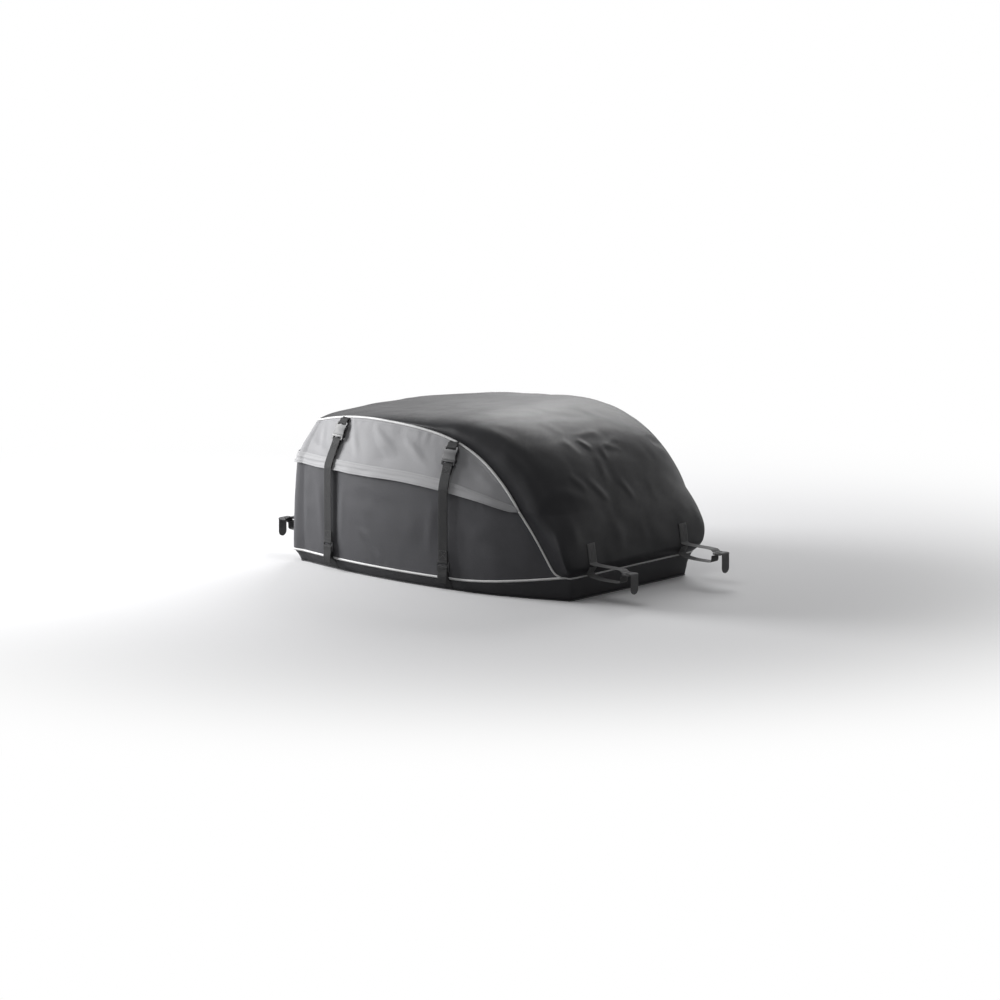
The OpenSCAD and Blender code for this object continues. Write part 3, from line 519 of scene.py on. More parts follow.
# stations of the rear wall, in its right corner and between its two upright seams
seam_v = rear_seam_y / wall_y(corner_x)
corner_v = -1 + (1 - seam_v) * np.linspace(0, 1, 500) ** 4
rear_v = seam_v * np.linspace(-1, 1, 110)


def arch_z(x):
    """Height of the arched seam: nearly level, then falling with the fifth power to the nose's foot."""
    rise = arch_rise * (1 - (np.maximum(x - arch_x0, 0) / arch_reach) ** 5)
    return arch_foot + (rise + np.sqrt(rise**2 + arch_soft**2)) / 2 - 0.46 * np.maximum(-0.150 - x, 0) ** 2


def zip_line(x):
    """Height of the zipper: level round the back, falling with the square towards the nose."""
    return zip_z - (zip_z - tip_z) * (np.maximum(x + 0.060, 0) / (tip_x + 0.060)) ** 2


def gap_at(x):
    """Half the slot between the lower and upper walls: it narrows forward and closes at the zipper's end."""
    return 0.0004 + 0.0046 * ramp(tip_x - 0.024 - x, -0.008, 0) + 0.003 * ramp(tip_x - 0.030 - x, 0, 0.100)


def rear_half(n):
    """Plan of the right rear corner from the side wall to the rear wall's upright seam."""
    return paced(rear_wall(corner_v, n), 36)[1:]


def wall_plan(n):
    """Plan of the right wall from the nose's foot to the rear upright seam, its corner of exponent n."""
    x = np.linspace(nose_end_x, corner_x, 170)
    return joined(stacked(x, -wall_y(x)), rear_half(n))


def bell(d, width):
    """1 in the middle and fading out over that width."""
    return np.exp(-((d / width) ** 2))


def clear_of_straps(x, share, width):
    """1, less a share of it where one of the two side straps presses on the cloth."""
    return 1 - share * bell(x - strap_x[0], width) - share * bell(x - strap_x[1], width)


def fold(place, *row):
    """A soft ridge (a groove for a negative height) from x0, y0 to x1, y1 on the cloth, with a faint dip on
    each side, that fades out at both ends. The row of x0, y0, x1, y1, width, height is in millimetres."""
    x0, y0, x1, y1, width, height = np.array(row) / 1000
    start, run = np.array([x0, y0]), np.array([x1 - x0, y1 - y0])
    length = np.linalg.norm(run)
    along = (place - start) @ run / length**2
    off = (place - start) @ np.array([run[1], -run[0]]) / length
    fade = np.clip(1 - (2 * along - 1) ** 2, 0, 1)
    return height * fade * (bell(off, width) - 0.4 * bell(off, 2.2 * width))


def folded(push, place, *rows):
    """The push with a fold added for each row."""
    for row in rows:
        push = push + fold(place, *row)
    return push


def pushed(grid, push):
    """The grid moved out along its normals."""
    return grid + outwards(grid) * push[..., None]


def waves(place, scale, seed):
    """Gentle uneven swell between -1 and 1: sines of different lengths and directions, bent by each other."""
    a, b = place[..., 0] / scale, place[..., 1] / scale
    low = np.sin(1.7 * a + 0.9 * b + seed) + np.sin(-1.1 * a + 2.1 * b + 2.3 * seed)
    return (low + np.sin(2.9 * a + 1.3 * low + 0.7 * seed) + np.sin(3.3 * b + 1.1 * low - seed)) / 4


def between(foot, head, count):
    """Grid of that many level rows, from the foot line up to the head line."""
    return foot + (head - foot) * np.linspace(0, 1, count)[:, None, None]


def lower_side(seed):
    """Grid of the right lower panel: its plan from the foot to the zipper, its heights between the two seams,
    pushed out by its bulge, dents, folds and seam puckers."""
    rows, foot = np.linspace(0, 1, 64)[:, None], wall_plan(rear_foot_n)
    low = foot_line(foot[:, 0]) + seam_gap
    x_top = np.maximum(foot[:, 0], corner_x)
    high = np.maximum(low + 0.001, np.minimum(zip_line(x_top) - gap_at(x_top), arch_z(x_top) - seam_in))
    grid = between(raised(foot, low), raised(wall_plan(zip_n), high), 64)
    run, z, tall = lengths(foot), grid[..., 2], high - low
    cloth, spot = stacked(run, z), grid[..., [0, 2]]
    push = 0.0042 * np.sin(np.pi * rows) ** 0.8 * clear_of_straps(spot[..., 0], 0.9, 0.030)
    push = push * ramp(tall, 0.02, 0.14) * (0.75 + 0.25 * waves(cloth, 0.16, seed))
    push += 0.0009 * waves(cloth, 0.055, seed + 2) * np.sin(np.pi * rows)
    near_seam = bell(z - low, 0.020) + 0.8 * bell(high - z, 0.016)
    eased = 0.3 + 0.7 * np.clip(waves(cloth * [1, 0], 0.05, seed), 0, 1)
    push += 0.0006 * eased * near_seam * np.sin(run / 0.0055 + 2.2 * np.sin(run / 0.05 + seed))
    push = folded(
        push, spot,
        (-342, 60, -356, 225, 13, 1.8), (-268, 70, -258, 250, 14, 1.6), (-375, 255, -335, 150, 16, 1.4),
        (-195, 115, -120, 65, 12, -2.8), (-205, 145, -160, 120, 12, -1.4), (-225, 250, -60, 215, 16, 1.2),
        (50, 80, 70, 235, 15, 1.4), (158, 70, 140, 220, 16, 1.3), (150, 200, 300, 90, 24, 1.8),
        (200, 110, 360, 80, 20, 1.4), (-415, 60, -408, 240, 16, 1.2),
    )
    ends = ramp(run, 0, 0.05) * ramp(run[-1] - run, 0, 0.03)
    shut = ramp(z - low, 0, 0.010) * ramp(high - z, 0, 0.008) * ends
    return pushed(grid, push * shut * ramp(tall, 0.0, 0.05))


lower_grids = [lower_side(1.3 + side) for side, hand in both_sides]
for grid, (side, hand) in zip(lower_grids, both_sides):
    wall = walled(surface("lower_side_" + hand, mirrored(grid, side), flip=side > 0), lower_cloth)
    sewn(wall, "tub", "lower_fabric", "side_panel_" + hand)

rows = np.linspace(0, 1, 60)[:, None]
foot = raised(rear_wall(rear_v, rear_foot_n), foot_z + seam_gap)
rear_grid = between(foot, raised(rear_wall(rear_v, zip_n), zip_z - zip_gap), 60)
cloth, y, z = rear_grid[..., 1:], rear_grid[..., 1], rear_grid[..., 2]
to_seam = rear_seam_y - np.abs(y)
push = 0.0035 * np.sin(np.pi * rows) ** 0.8 * (1 + 0.4 * waves(cloth, 0.14, 4.0)) * ramp(to_seam, 0, 0.08)
push *= 1 - 0.85 * bell(np.abs(y) - tie_y, 0.030) * ramp(0.20 - z, 0, 0.05)
push += 0.0007 * (bell(rows, 0.09) + bell(1 - rows, 0.07)) * np.sin(y / 0.0042 + 2 * np.sin(y / 0.05))
push *= ramp(rows, 0, 0.04) * ramp(1 - rows, 0, 0.03) * ramp(to_seam, 0, 0.012)
for way in (-1, 1):
    push += fold(cloth, way * 170, 165, way * 60, 235, 16, 2.2) * ramp(rows, 0, 0.2)
    push += fold(cloth, way * 200, 150, way * 215, 245, 12, 1.4) * ramp(1 - rows, 0, 0.2)
    push += fold(cloth, way * 150, 60, way * 30, 85, 14, 1.6) * ramp(rows, 0, 0.2)
rear_panel = walled(surface("lower_rear", pushed(rear_grid, push)), lower_cloth)
sewn(rear_panel, "tub", "lower_fabric", "rear_panel")


# Cover: one piece of black coated polyester for the lid's top and for the nose below it, made as one fixed
# sheet that crumples softly over the nose. The real cover folds along the line between the zipper's two ends
# when the lid opens.
cover_cloth = coated_cloth("cover_cloth", (0.016, 0.016, 0.018), 0.43, 0.13, relief=0.00003, crumple=0.0012)
rear_top_x = -half_l + 0.016
rear_top_z = 0.372
shoulder_z = 0.390
shoulder_drop = 0.018
# how square the cover's rows are at its rear seam, over its crest and at the hinge line
rear_n = 3.4
crest_n = 2.4
tip_n = 4.5


def seam_y(x):
    """Half width at the arched seam: the wall's, less its lean above the zipper and its pinch at the rear."""
    lean = 0.36 * np.maximum(arch_z(x) - zip_line(x), 0)
    return wall_y(x) - lean - 0.045 * ramp(-x, 0.100, half_l) ** 2


def crest_z(x):
    """Height of the middle of the bag: up from the rear shoulder to the crest, then down over the nose."""
    back = (np.maximum(crest_ahead - x, 0) / (crest_ahead - rear_top_x)) ** 1.3 * (bag_height - shoulder_z)
    shoulder = shoulder_drop * (1 - ramp(x, rear_top_x, rear_top_x + 0.050)) ** 2
    front = bag_height * (1 - ramp(x, crest_ahead, half_l) ** profile_on) ** (1 / profile_up)
    return np.where(x < crest_ahead, bag_height - back - shoulder, front)


def cover_top(s, v):
    """Top of the cover: at s from 0 at the rear seam to 1 at the hinge line, a row that rises from the arched
    seam on each side to the crest in the middle, for v from -1 on the right to 1 on the left."""
    x_side = corner_x + (tip_x - corner_x) * s
    x_mid = rear_top_x + (crest_x(tip_z) - rear_top_x) * s
    n = rear_n + (crest_n - rear_n) * np.minimum(1, 6 * s) + (tip_n - crest_n) * s**4
    full = fill(v, n)
    x = x_side + (x_mid - x_side) * full
    z = arch_z(x_side) + (crest_z(x_mid) - arch_z(x_side)) * full
    return stacked(x, v * (seam_y(x_side) - seam_in), z)


def down_nose(z):
    """How far down the nose height z is: 0 at the hinge line and 1 at the foot."""
    return ramp(tip_z - z, 0, tip_z - nose_foot_z)


def cheeks(z, v):
    """How much the nose's rows at height z widen between its middle and its two side edges."""
    return 1 + 0.25 * np.sin(np.pi * down_nose(z) ** 1.8) ** 0.8 * (1 - v**2) ** (1 / 3)


def cover_nose(z, v):
    """Nose of the cover: a level row at height z, squarer and fuller in its cheeks on the way down."""
    x_side = arch_x(z)
    n = tip_n + (nose_foot_n - tip_n) * np.minimum(1, down_nose(z) / 0.6)
    inset = seam_in * ramp(down_nose(z), 0, 0.15)
    x = x_side + inset + (bulge_front(z) - x_side - inset) * fill(v, n)
    return stacked(x, v * (wall_y(x_side) - seam_in + inset / 2) * cheeks(z, v), z)


# rows that crowd together at the rear seam and at the hinge line, then level ones down the nose
across = (spread(151)[None] + np.linspace(-1, 1, 151)) / 2
s = np.linspace(0.03, 1, 200)[:, None]
s = (s - 0.03 + (1 - np.cos(np.pi * s)) / 2) / (0.97 + 1) * 0.9977 + 0.0022
falling = np.linspace(tip_z, nose_foot_z + 0.0018, 52)[1:, None]
cover_grid = joined(cover_top(s, across), cover_nose(falling, across))

# crumples on a chart of [across from the middle, along from the rear seam]: a star of soft creases on the
# nose's shoulder, long slanting folds beside it, level ones below, and a broad uneven swell over the top
chart = stacked(lengths(cover_grid, 1), lengths(cover_grid))
chart[..., 0] -= chart[:, 75:76, 0]
push = folded(
    0.0022 * waves(chart, 0.13, 0.6) + 0.0008 * waves(chart, 0.045, 1.6), chart,
    (-60, 790, 30, 790, 12, 2.3), (-65, 800, -38, 845, 11, 2.2), (-10, 835, 65, 855, 11, 2.4),
    (0, 835, -16, 885, 11, 2.2), (10, 840, 80, 820, 11, 1.9), (-38, 860, -55, 940, 15, 2),
    (-115, 790, -93, 865, 16, 1.9), (-125, 920, -72, 995, 12, 3), (-180, 895, -138, 955, 12, 2.3),
    (-8, 940, 24, 1000, 11, 2), (-310, 880, -130, 990, 16, 3.6), (-272, 600, -262, 860, 34, 4.3),
    (-170, 410, 110, 400, 25, 1.3), (-230, 540, 80, 625, 27, 1.6), (-246, 970, -235, 1100, 20, 2.4),
    (-73, 1040, -66, 1130, 22, 1.9), (-335, 920, -295, 1040, 16, 2.2), (20, 1040, 240, 1040, 20, 1.4),
    (200, 845, 270, 830, 18, -3.6), (270, 620, 260, 800, 31, 2.9),
)
along, z = chart[..., 0], cover_grid[..., 2]
free = ramp(along - along[:, :1], 0, 0.035) * ramp(along[:, -1:] - along, 0, 0.035)
free = free * ramp(chart[..., 1], 0, 0.03) * ramp(z, nose_foot_z, nose_foot_z + 0.02)
tie_free = 1 - bell(np.abs(cover_grid[..., 1]) - tie_y, 0.032) * ramp(0.190 - z, 0, 0.03)
cover_grid = pushed(cover_grid, push * free * tie_free)

cover = walled(surface("cover", cover_grid), cover_cloth)
layers = bpy.context.evaluated_depsgraph_get()
thick_cover = bpy.data.meshes.new_from_object(
    cover.evaluated_get(layers), preserve_all_data_layers=True, depsgraph=layers
)
cover.modifiers.clear()
cover.data = thick_cover
sewn(cover, None, "top_fabric", "top_panel", "nose_panel")
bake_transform(cover)


# Upper walls of the lid: mid grey coated polyester that leans in from the zipper to the arched seam,
# pulled into slanting puckers by the seam and by the straps' tabs.
upper_cloth = coated_cloth("upper_cloth", (0.26, 0.26, 0.27), 0.55, 0.2, crumple=0.0010)


def rear_top(v, inset=0.0):
    """The seam round the top of the rear wall, rounder than the wall below it."""
    full = fill(v, rear_n)
    x = corner_x + (rear_top_x + inset - corner_x) * full
    z = arch_z(corner_x) + (rear_top_z - arch_z(corner_x)) * full
    return stacked(x, v * (seam_y(corner_x) - inset), z)


def upper_wall(foot, head, push_of):
    """Grid between a panel's foot above the zipper and its head under the arched seam, pushed out by
    push_of(the grid, its chart of [along, up], the distances to its foot and to its head)."""
    grid = between(foot, head, 50)
    tall = np.linalg.norm(head - foot, axis=1)
    up = np.linspace(0, 1, 50)[:, None] * tall
    return pushed(grid, push_of(grid, stacked(lengths(foot[:, :2]), up), up, tall - up))


def seam_pucker(chart, down):
    """Small uneven puckers that hang from a stitched seam: sines along it, strongest where it is eased."""
    run, up = chart[..., 0], chart[..., 1]
    eased = 0.35 + 0.65 * np.clip(waves(chart * [1, 0], 0.04, 1.7), 0, 1)
    return 0.0009 * eased * bell(down, 0.026) * np.sin(run / 0.0062 + 2.4 * np.sin(run / 0.047) + 9 * up)


def upper_side_push(grid, chart, up, down):
    """Puckers of an upper side panel."""
    run, spot = chart[..., 0], grid[..., [0, 2]]
    push = folded(
        0.0022 * waves(chart, 0.075, 2.1) + seam_pucker(chart, down), spot,
        (-270, 395, -210, 310, 12, 3), (-185, 400, -70, 330, 12, 3.6), (-165, 375, -90, 320, 10, 2),
        (-60, 375, 20, 335, 12, 3), (-30, 350, 40, 320, 12, 1.8), (150, 345, 250, 275, 14, 2.4),
        (-285, 390, -290, 310, 8, 3), (-400, 380, -360, 310, 10, 2.6), (-430, 330, -330, 305, 10, 2),
    )
    ends = ramp(run, 0, 0.06) * ramp(run.max() - run, 0, 0.02)
    calm = clear_of_straps(spot[..., 0], 0.95, 0.024)
    return push * calm * ramp(up, 0.006, 0.034) * ramp(down, 0, 0.010) * ends


def upper_rear_push(grid, chart, up, down):
    """Puckers of the upper rear panel."""
    run = chart[..., 0]
    push = folded(
        0.0024 * waves(chart, 0.08, 5.2) + seam_pucker(chart, down), chart,
        (60, 80, 160, 35, 12, 2.2), (300, 35, 390, 85, 13, 2), (200, 85, 240, 30, 12, 1.6),
    )
    ends = ramp(run, 0, 0.012) * ramp(run.max() - run, 0, 0.012)
    return push * ramp(up, 0.020, 0.045) * ramp(down, 0, 0.010) * ends


x = np.linspace(tip_x - 0.003, corner_x, 140)
corner_foot = raised(rear_half(zip_n), zip_z + zip_gap)
corner_head = paced(rear_top(corner_v), 36)[1:] - [0, 0, seam_in]
upper_foot = joined(stacked(x, -wall_y(x), zip_line(x) + gap_at(x)), corner_foot)
upper_head = joined(stacked(x, -seam_y(x), arch_z(x) - seam_in), corner_head)
upper_grid = upper_wall(upper_foot, upper_head, upper_side_push)
for side, hand in both_sides:
    wall = surface("upper_side_cloth_" + hand, mirrored(upper_grid, side), flip=side > 0)
    sewn(walled(wall, upper_cloth), "lid", "upper_fabric", "upper_side_" + hand)
foot, head = raised(rear_wall(rear_v, zip_n), zip_z + zip_gap), rear_top(rear_v) - [0, 0, seam_in]
upper_rear = walled(surface("upper_rear_cloth", upper_wall(foot, head, upper_rear_push)), upper_cloth)
sewn(upper_rear, "lid", "upper_fabric", "upper_rear")


# Piping of the arched seam: the same near-white cord, from the foot of the nose on one side over
# the lid's side, round its back and down to the nose's foot on the other side.
lid_end_x = arch_x(tip_z + 0.0002)
x = lid_end_x + (corner_x - lid_end_x) * np.linspace(0, 1, 200)
side = stacked(x, 0.001 - seam_y(x), arch_z(x))
lid_path = evenly(joined(side, rear_top(spread(160)[1:-1], 0.001), mirrored(side)[::-1]), 0.004)
sewn(round_cord("arched_seam_piping", lid_path), "lid", "piping", "upper_piping", cloth=piping_tape)
x = np.linspace(arch_x(tip_z - 0.0002), nose_end_x - 0.011, 80)
nose_path = evenly(stacked(x, 0.001 - wall_y(x), arch_z(x)), 0.004)
for side, hand in both_sides:
    nose_cord = round_cord("nose_seam_piping_" + hand, mirrored(nose_path, side))
    sewn(nose_cord, "tub", "piping", "nose_piping_" + hand, cloth=piping_tape)


# Storm flaps: the upper walls' coated polyester folded double, its grey painted lighter than on the walls
# for the light that falls on the flaps, stitched on above the zipper, with a free lower edge that stands off
# the wall and waves a little. The rear one lifts on its bound top edge.
# painted light: the flaps' cloth is the upper walls' fabric in a lighter grey, for the light the flaps catch
flap_cloth_painted_light = coated_cloth("flap_cloth_painted_light", (0.335, 0.335, 0.345), 0.55, 0.2)
flap_up = 0.018
flap_down = 0.010
flap_stand = 0.006
flap_t = 0.002


def hanging(top, bottom, lean, t):
    """Middle line of a strip at the shares t of its height, [outwards, up] at every station: a slight curve
    from top to bottom, held off a wall that leans in by that much above the zipper's slot."""
    line = top[:, None] + (bottom - top)[:, None] * t[:, None]
    line[..., 0] = top[:, None, 0] + (bottom - top)[:, None, 0] * t**1.3
    wall = flap_t / 2 + 0.0004 - lean * np.maximum(line[..., 1] - zip_gap, 0)
    line[..., 0] = np.maximum(line[..., 0], wall)
    return line


def strip_outline(top, bottom, thick, lean=1e3):
    """Closed outline of a flat strip seen end on, at every station: down its outer face from top to bottom
    ([outwards, up] of its middle line there), round its lower edge, up its inner face and round the top."""
    down = hanging(top, bottom, lean, np.linspace(0, 1, 14))
    turn = np.linspace(0, np.pi, 7)[None, 1:-1]
    end = thick / 2 * stacked(-np.cos(turn), np.sin(turn))
    half = np.array([thick / 2, 0])
    return np.hstack([down + half, bottom[:, None] - end, down[:, ::-1] - half, top[:, None] + end])


def level_out(way):
    """Level direction out of the wall, square to directions along it."""
    return unit(stacked(-way[:, 1], way[:, 0], 0))


def wall_band(name, path, section, side=-1):
    """Carries a section of [outwards, up] along a path round the bag's right and rear, where it stays
    upright. Side 1 mirrors it to the left."""
    out = mirrored(level_out(tangents(path)), side)
    up = np.broadcast_to([0, 0, 1.0], path.shape)
    return swept(name, mirrored(path, side), section, out, up, flip=side > 0)


x = np.linspace(tip_x - 0.0015, corner_x, 150)
flap_foot = joined(stacked(x, -wall_y(x), zip_line(x)), corner_foot - [0, 0, zip_gap])
flap_head = joined(stacked(x, -seam_y(x), arch_z(x)), corner_head)
flap_way = tangents(flap_foot)
ahead, aside, room = (flap_head - flap_foot).T
lean_in = (ahead * flap_way[:, 1] - aside * flap_way[:, 0]) / np.linalg.norm(flap_way[:, :2], axis=1) / room
flap_size = 0.5 + 0.5 * ramp(tip_x - flap_foot[:, 0], 0, 0.240)
flap_rise = np.minimum(flap_up * flap_size, room)
flap_root = -lean_in * np.maximum(flap_rise - zip_gap, 0) + flap_t / 2 + 0.0004
along = lengths(flap_foot)
calm = clear_of_straps(flap_foot[:, 0], 1, 0.03) * ramp(along, 0, 0.1) * ramp(along[-1] - along, 0, 0.03)
stand_off = flap_t / 2 + 0.0003 + (flap_stand - 0.0003) * ramp(along, 0, 0.07) ** 0.7
stand_off += 0.0008 * np.sin(along / 0.021 + 2 * np.sin(along / 0.09)) * calm
least_drop = 0.0080 + 0.0018 * ramp(along, 0.030, 0.140)
drop = np.maximum(flap_down * flap_size, least_drop) * (0.3 + 0.7 * ramp(along, 0, 0.022))
drop += 0.0008 * np.sin(along / 0.034 + 1.5 * np.sin(along / 0.11)) * calm
flap_top = stacked(flap_root, flap_rise)
flap_low = stacked(stand_off, 0.001 - drop)
outline = strip_outline(flap_top, flap_low, flap_t, lean_in[:, None])
for side, hand in both_sides:
    flap = wall_band("storm_flap_cloth_" + hand, flap_foot, outline, side)
    sewn(flap, "lid", "flap_fabric", "storm_flap_" + hand, cloth=flap_cloth_painted_light)

flap_half = rear_seam_y - 0.002
y = np.linspace(-flap_half, flap_half, 160)
rear_line = stacked(-half_l, y, zip_z)
middle = flap_stand + flap_t / 2
sway = 0.0006 * np.sin(y / 0.023 + 2 * np.sin(y / 0.08)) * ramp(flap_half - np.abs(y), 0, 0.03)
hinge_edge = stacked(middle + 0 * y, flap_up)
free_edge = stacked(middle + sway, 0.001 - flap_down + 0.6 * sway)
rear_flap = wall_band("storm_flap_cloth_rear", rear_line, strip_outline(hinge_edge, free_edge, flap_t))
sewn(rear_flap, "storm_flap_rear", "flap_fabric", "storm_flap_rear", cloth=flap_cloth_painted_light)
# the binding is a tape folded over the flap's top edge and sewn to the panel behind it
fold_over = [[74, 193], [79, 197], [80, 212], [72, 230], [50, 247], [10, 264], [-43, 273], [-43, 193]]
binding = wall_band("flap_binding_tape", rear_line, np.array(fold_over) * 1e-4)
sewn(binding, "lid", "flap_fabric", "flap_binding", cloth=flap_cloth_painted_light)


# Zipper: two black woven tapes sewn behind the walls' edges, each with its row of moulded teeth that
# mesh between the other's, from one tip beside the nose round the back to the other tip.
zip_end_x = tip_x - 0.024
tape_t = 0.001
tape_line = -panel_t - tape_t / 2 + 0.0002
tooth_pitch = 0.0034
# faces of a bar of four rings of four points, with its two ends
k = np.arange(4)
bar_bands = [4 * r + stacked(k, (k + 1) % 4, 4 + (k + 1) % 4, 4 + k) for r in range(3)]
bar_faces = joined(*bar_bands, [[3, 2, 1, 0], [12, 13, 14, 15]])


def repeated(name, bar, faces, places, *ways):
    """The same small bar at every place, its three coordinates along the three unit directions there."""
    bar = bar.reshape(-1, 3)
    points = places[:, None] + sum(bar[None, :, k : k + 1] * way[:, None] for k, way in enumerate(ways))
    loops = (faces.ravel()[None] + len(bar) * np.arange(len(places))[:, None]).ravel()
    return mesh_piece(name, points.reshape(-1, 3), loops, np.full(len(faces) * len(places), 4))


def woven_tape(name, colour, rough, rib, relief):
    """Woven tape or webbing: ribs across it and a plain weave, a little lighter on its raised yarns."""
    return coated_cloth(name, colour, rough, 0.15, relief, crumple=0.0004, yarn=rib, sheen=0.04, uneven=0.3)


def moulded_plastic(name, colour, rough):
    """Moulded plastic: a fine spark-eroded grain, slightly uneven shine and faint scuffs."""
    material, tree = blank_material(name)
    place = object_place(tree)
    cloud = noise(tree, place, 120.0, 4.0)
    tone = mixed(tree, cloud, np.multiply(colour, 0.8), np.multiply(colour, 1.25))
    shine = scaled(tree, cloud, rough - 0.08, rough + 0.08)
    grain = sums(tree, "MULTIPLY", noise(tree, place, 1400.0, 2.0), 0.00004)
    return finished(material, tone, shine, grain, **{"Specular IOR Level": 0.35})


tape_cloth = woven_tape("zipper_tape", (0.018, 0.018, 0.019), 0.7, 0.0010, 0.00008)
tooth_plastic = moulded_plastic("tooth_plastic", (0.02, 0.02, 0.02), 0.4)
x = np.linspace(zip_end_x, corner_x, 200)
right_part = joined(stacked(x, -wall_y(x), zip_line(x)), raised(rear_half(zip_n), zip_z))
back = raised(rear_wall(seam_v * np.linspace(-1, 1, 80)[1:-1], zip_n), zip_z)
zip_run = joined(right_part, back, mirrored(right_part)[::-1])
tooth_level = np.array([0.0042, 0.0018, 0.0004, -0.0006])[:, None]
tooth_half = np.array([0.0008, 0.00055, 0.0008, 0.0006])[:, None]
turn = np.array([[-1, -1], [1, -1], [1, 1], [-1, 1]])
for up, part, body in ((-1, "lower", "tub"), (1, "upper", "lid")):
    near, edge = np.array([[tape_line, up * 0.0013]]), np.array([[tape_line, up * 0.0095]])
    section = strip_outline(near, edge, tape_t) if up < 0 else strip_outline(edge, near, tape_t)
    tape = wall_band("zipper_tape_" + part + "_woven", evenly(zip_run, 0.005), section)
    sewn(tape, body, "zipper", "zipper_tape_" + part, cloth=tape_cloth)
    seats = evenly(zip_run, tooth_pitch)[1:-1]
    way = tangents(seats)
    out = level_out(way)
    seats = seats + tape_line * out + (tooth_pitch / 2 * way if up > 0 else 0)
    tooth = stacked(tooth_half * turn[:, 0], 0.0014 * turn[:, 1], up * tooth_level)
    upright = np.broadcast_to([0, 0, 1.0], way.shape)
    teeth = repeated("zipper_teeth_" + part, tooth, bar_faces[:, ::-up], seats, way, out, upright)
    sewn(teeth, body, "zipper", "zipper_tape_" + part, cloth=tooth_plastic)


# Topstitching: rows of lock stitches in thread of the cloth's colour, a few millimetres from the
# seams of the cover, walls and boxing and along both edges of the storm flaps.
def sewing_thread(name, colour):
    """Twisted polyester thread: a faint slant of its strands and uneven dye."""
    material, tree = blank_material(name)
    slant = {"Vector": object_place(tree), "Scale": 900.0, "Distortion": 1.0}
    strands = node(tree, "TexWave", slant, bands_direction="DIAGONAL").outputs["Fac"]
    tone = mixed(tree, strands, np.multiply(colour, 0.7), colour)
    return finished(material, tone, 0.55, sums(tree, "MULTIPLY", strands, 0.00005))


# one stitch: the thread comes out of the cloth, runs flat and dives in again
dash_run = np.array([-1.5, -0.9, 0.9, 1.5])[:, None] * 0.001
dash_high = np.array([-0.05, 0.3, 0.3, -0.05])[:, None] * 0.001
dash_half = np.array([0.12, 0.3, 0.3, 0.12])[:, None] * 0.001
turn = np.array([[-1, 0], [1, 0], [0.6, 1], [-0.6, 1]])
dash = stacked(dash_run, dash_half * turn[:, 0], np.where(turn[:, 1] > 0, dash_high, -0.0003))
dark_thread = sewing_thread("dark_thread", (0.028, 0.028, 0.03))
wall_thread = sewing_thread("wall_thread", (0.07, 0.07, 0.075))
lid_thread = sewing_thread("lid_thread", (0.20, 0.20, 0.205))
box_thread = sewing_thread("box_thread", (0.10, 0.10, 0.10))


def seam_row(grid, normals, inset):
    """Points and normals on a panel at that distance from its first column, one for each row but the two
    at either end. Rows too short for it are left out."""
    run = lengths(grid, 1)[:, 1:]
    after = np.clip((run > inset).argmax(axis=1) + 1, 1, grid.shape[1] - 1)
    rows = np.arange(len(grid))
    before = np.where(after > 1, run[rows, np.maximum(after - 2, 0)], 0)
    t = ((inset - before) / np.maximum(run[rows, after - 1] - before, 1e-9))[:, None]
    pick = run[:, -1] > 2.5 * inset
    line = grid[rows, after - 1] * (1 - t) + grid[rows, after] * t
    facing = normals[rows, after - 1] * (1 - t) + normals[rows, after] * t
    return line[pick][2:-2], facing[pick][2:-2]


def topstitch(name, line, facing, thread, body, slot_name):
    """A row of stitches along the line, pressed a little into the cloth."""
    rows = evenly(line, 0.0042)
    run, way = lengths(line), tangents(rows)
    normal = read_off(np.linspace(0, run[-1], len(rows)), run, facing)
    normal = unit(normal - way * np.sum(normal * way, axis=1, keepdims=True))
    piece = repeated(name, dash, bar_faces[:, ::-1], rows, way, np.cross(normal, way), normal)
    return sewn(piece, body, slot_name, cloth=thread)


def edge_stitches(name, grid, edge, inset, thread, body, slot_name, side=-1, around=False):
    """Topstitching on a panel of the bag's right at that distance from one edge of it: its first or last
    column, or its foot or head row. Side 1 mirrors it to the left."""
    turned = []
    for each in (grid, outwards(grid, around)):
        if edge == "last":
            each = each[:, ::-1]
        if edge == "head":
            each = each[::-1]
        if edge in ("foot", "head"):
            each = each.swapaxes(0, 1)
        turned.append(each)
    line, facing = seam_row(*turned, inset)
    return topstitch(name, mirrored(line, side), mirrored(facing, side), thread, body, slot_name)


flap_out = level_out(flap_way)
seam_inset = 0.0075
for grid, edge, (side, hand) in zip(lower_grids, ("first", "last"), both_sides):
    sewing = (cover_grid, edge, seam_inset, dark_thread, None, "top_fabric")
    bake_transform(edge_stitches("cover_stitches_" + hand, *sewing))
    for name, panel, edge, inset, thread, body, slot_name in (
        ("lower_stitches_", grid, "foot", seam_inset, wall_thread, "tub", "lower_fabric"),
        ("rear_seam_a_", grid, "last", 0.004, wall_thread, "tub", "lower_fabric"),
        ("rear_seam_b_", grid, "last", 0.010, wall_thread, "tub", "lower_fabric"),
        ("upper_stitches_", upper_grid, "head", seam_inset, lid_thread, "lid", "upper_fabric"),
        ("upper_seam_", upper_grid, "last", 0.004, lid_thread, "lid", "upper_fabric"),
    ):
        edge_stitches(name + hand, panel, edge, inset, thread, body, slot_name, side)
    for share, tag in ((0.12, "top"), (0.84, "hem")):
        at = hanging(flap_top, flap_low, lean_in[:, None], np.array([share]))[:, 0]
        line = flap_foot + flap_out * (at[:, :1] + flap_t / 2 + 0.0001) + np.array([0, 0, 1]) * at[:, 1:]
        line, facing = mirrored(line, side)[4:-2], mirrored(flap_out, side)[4:-2]
        topstitch("flap_" + tag + "_stitches_" + hand, line, facing, lid_thread, "lid", "flap_fabric")
edge_stitches("boxing_stitches", boxing_grid, "head", 0.008, dark_thread, "tub", "base_fabric", around=True)


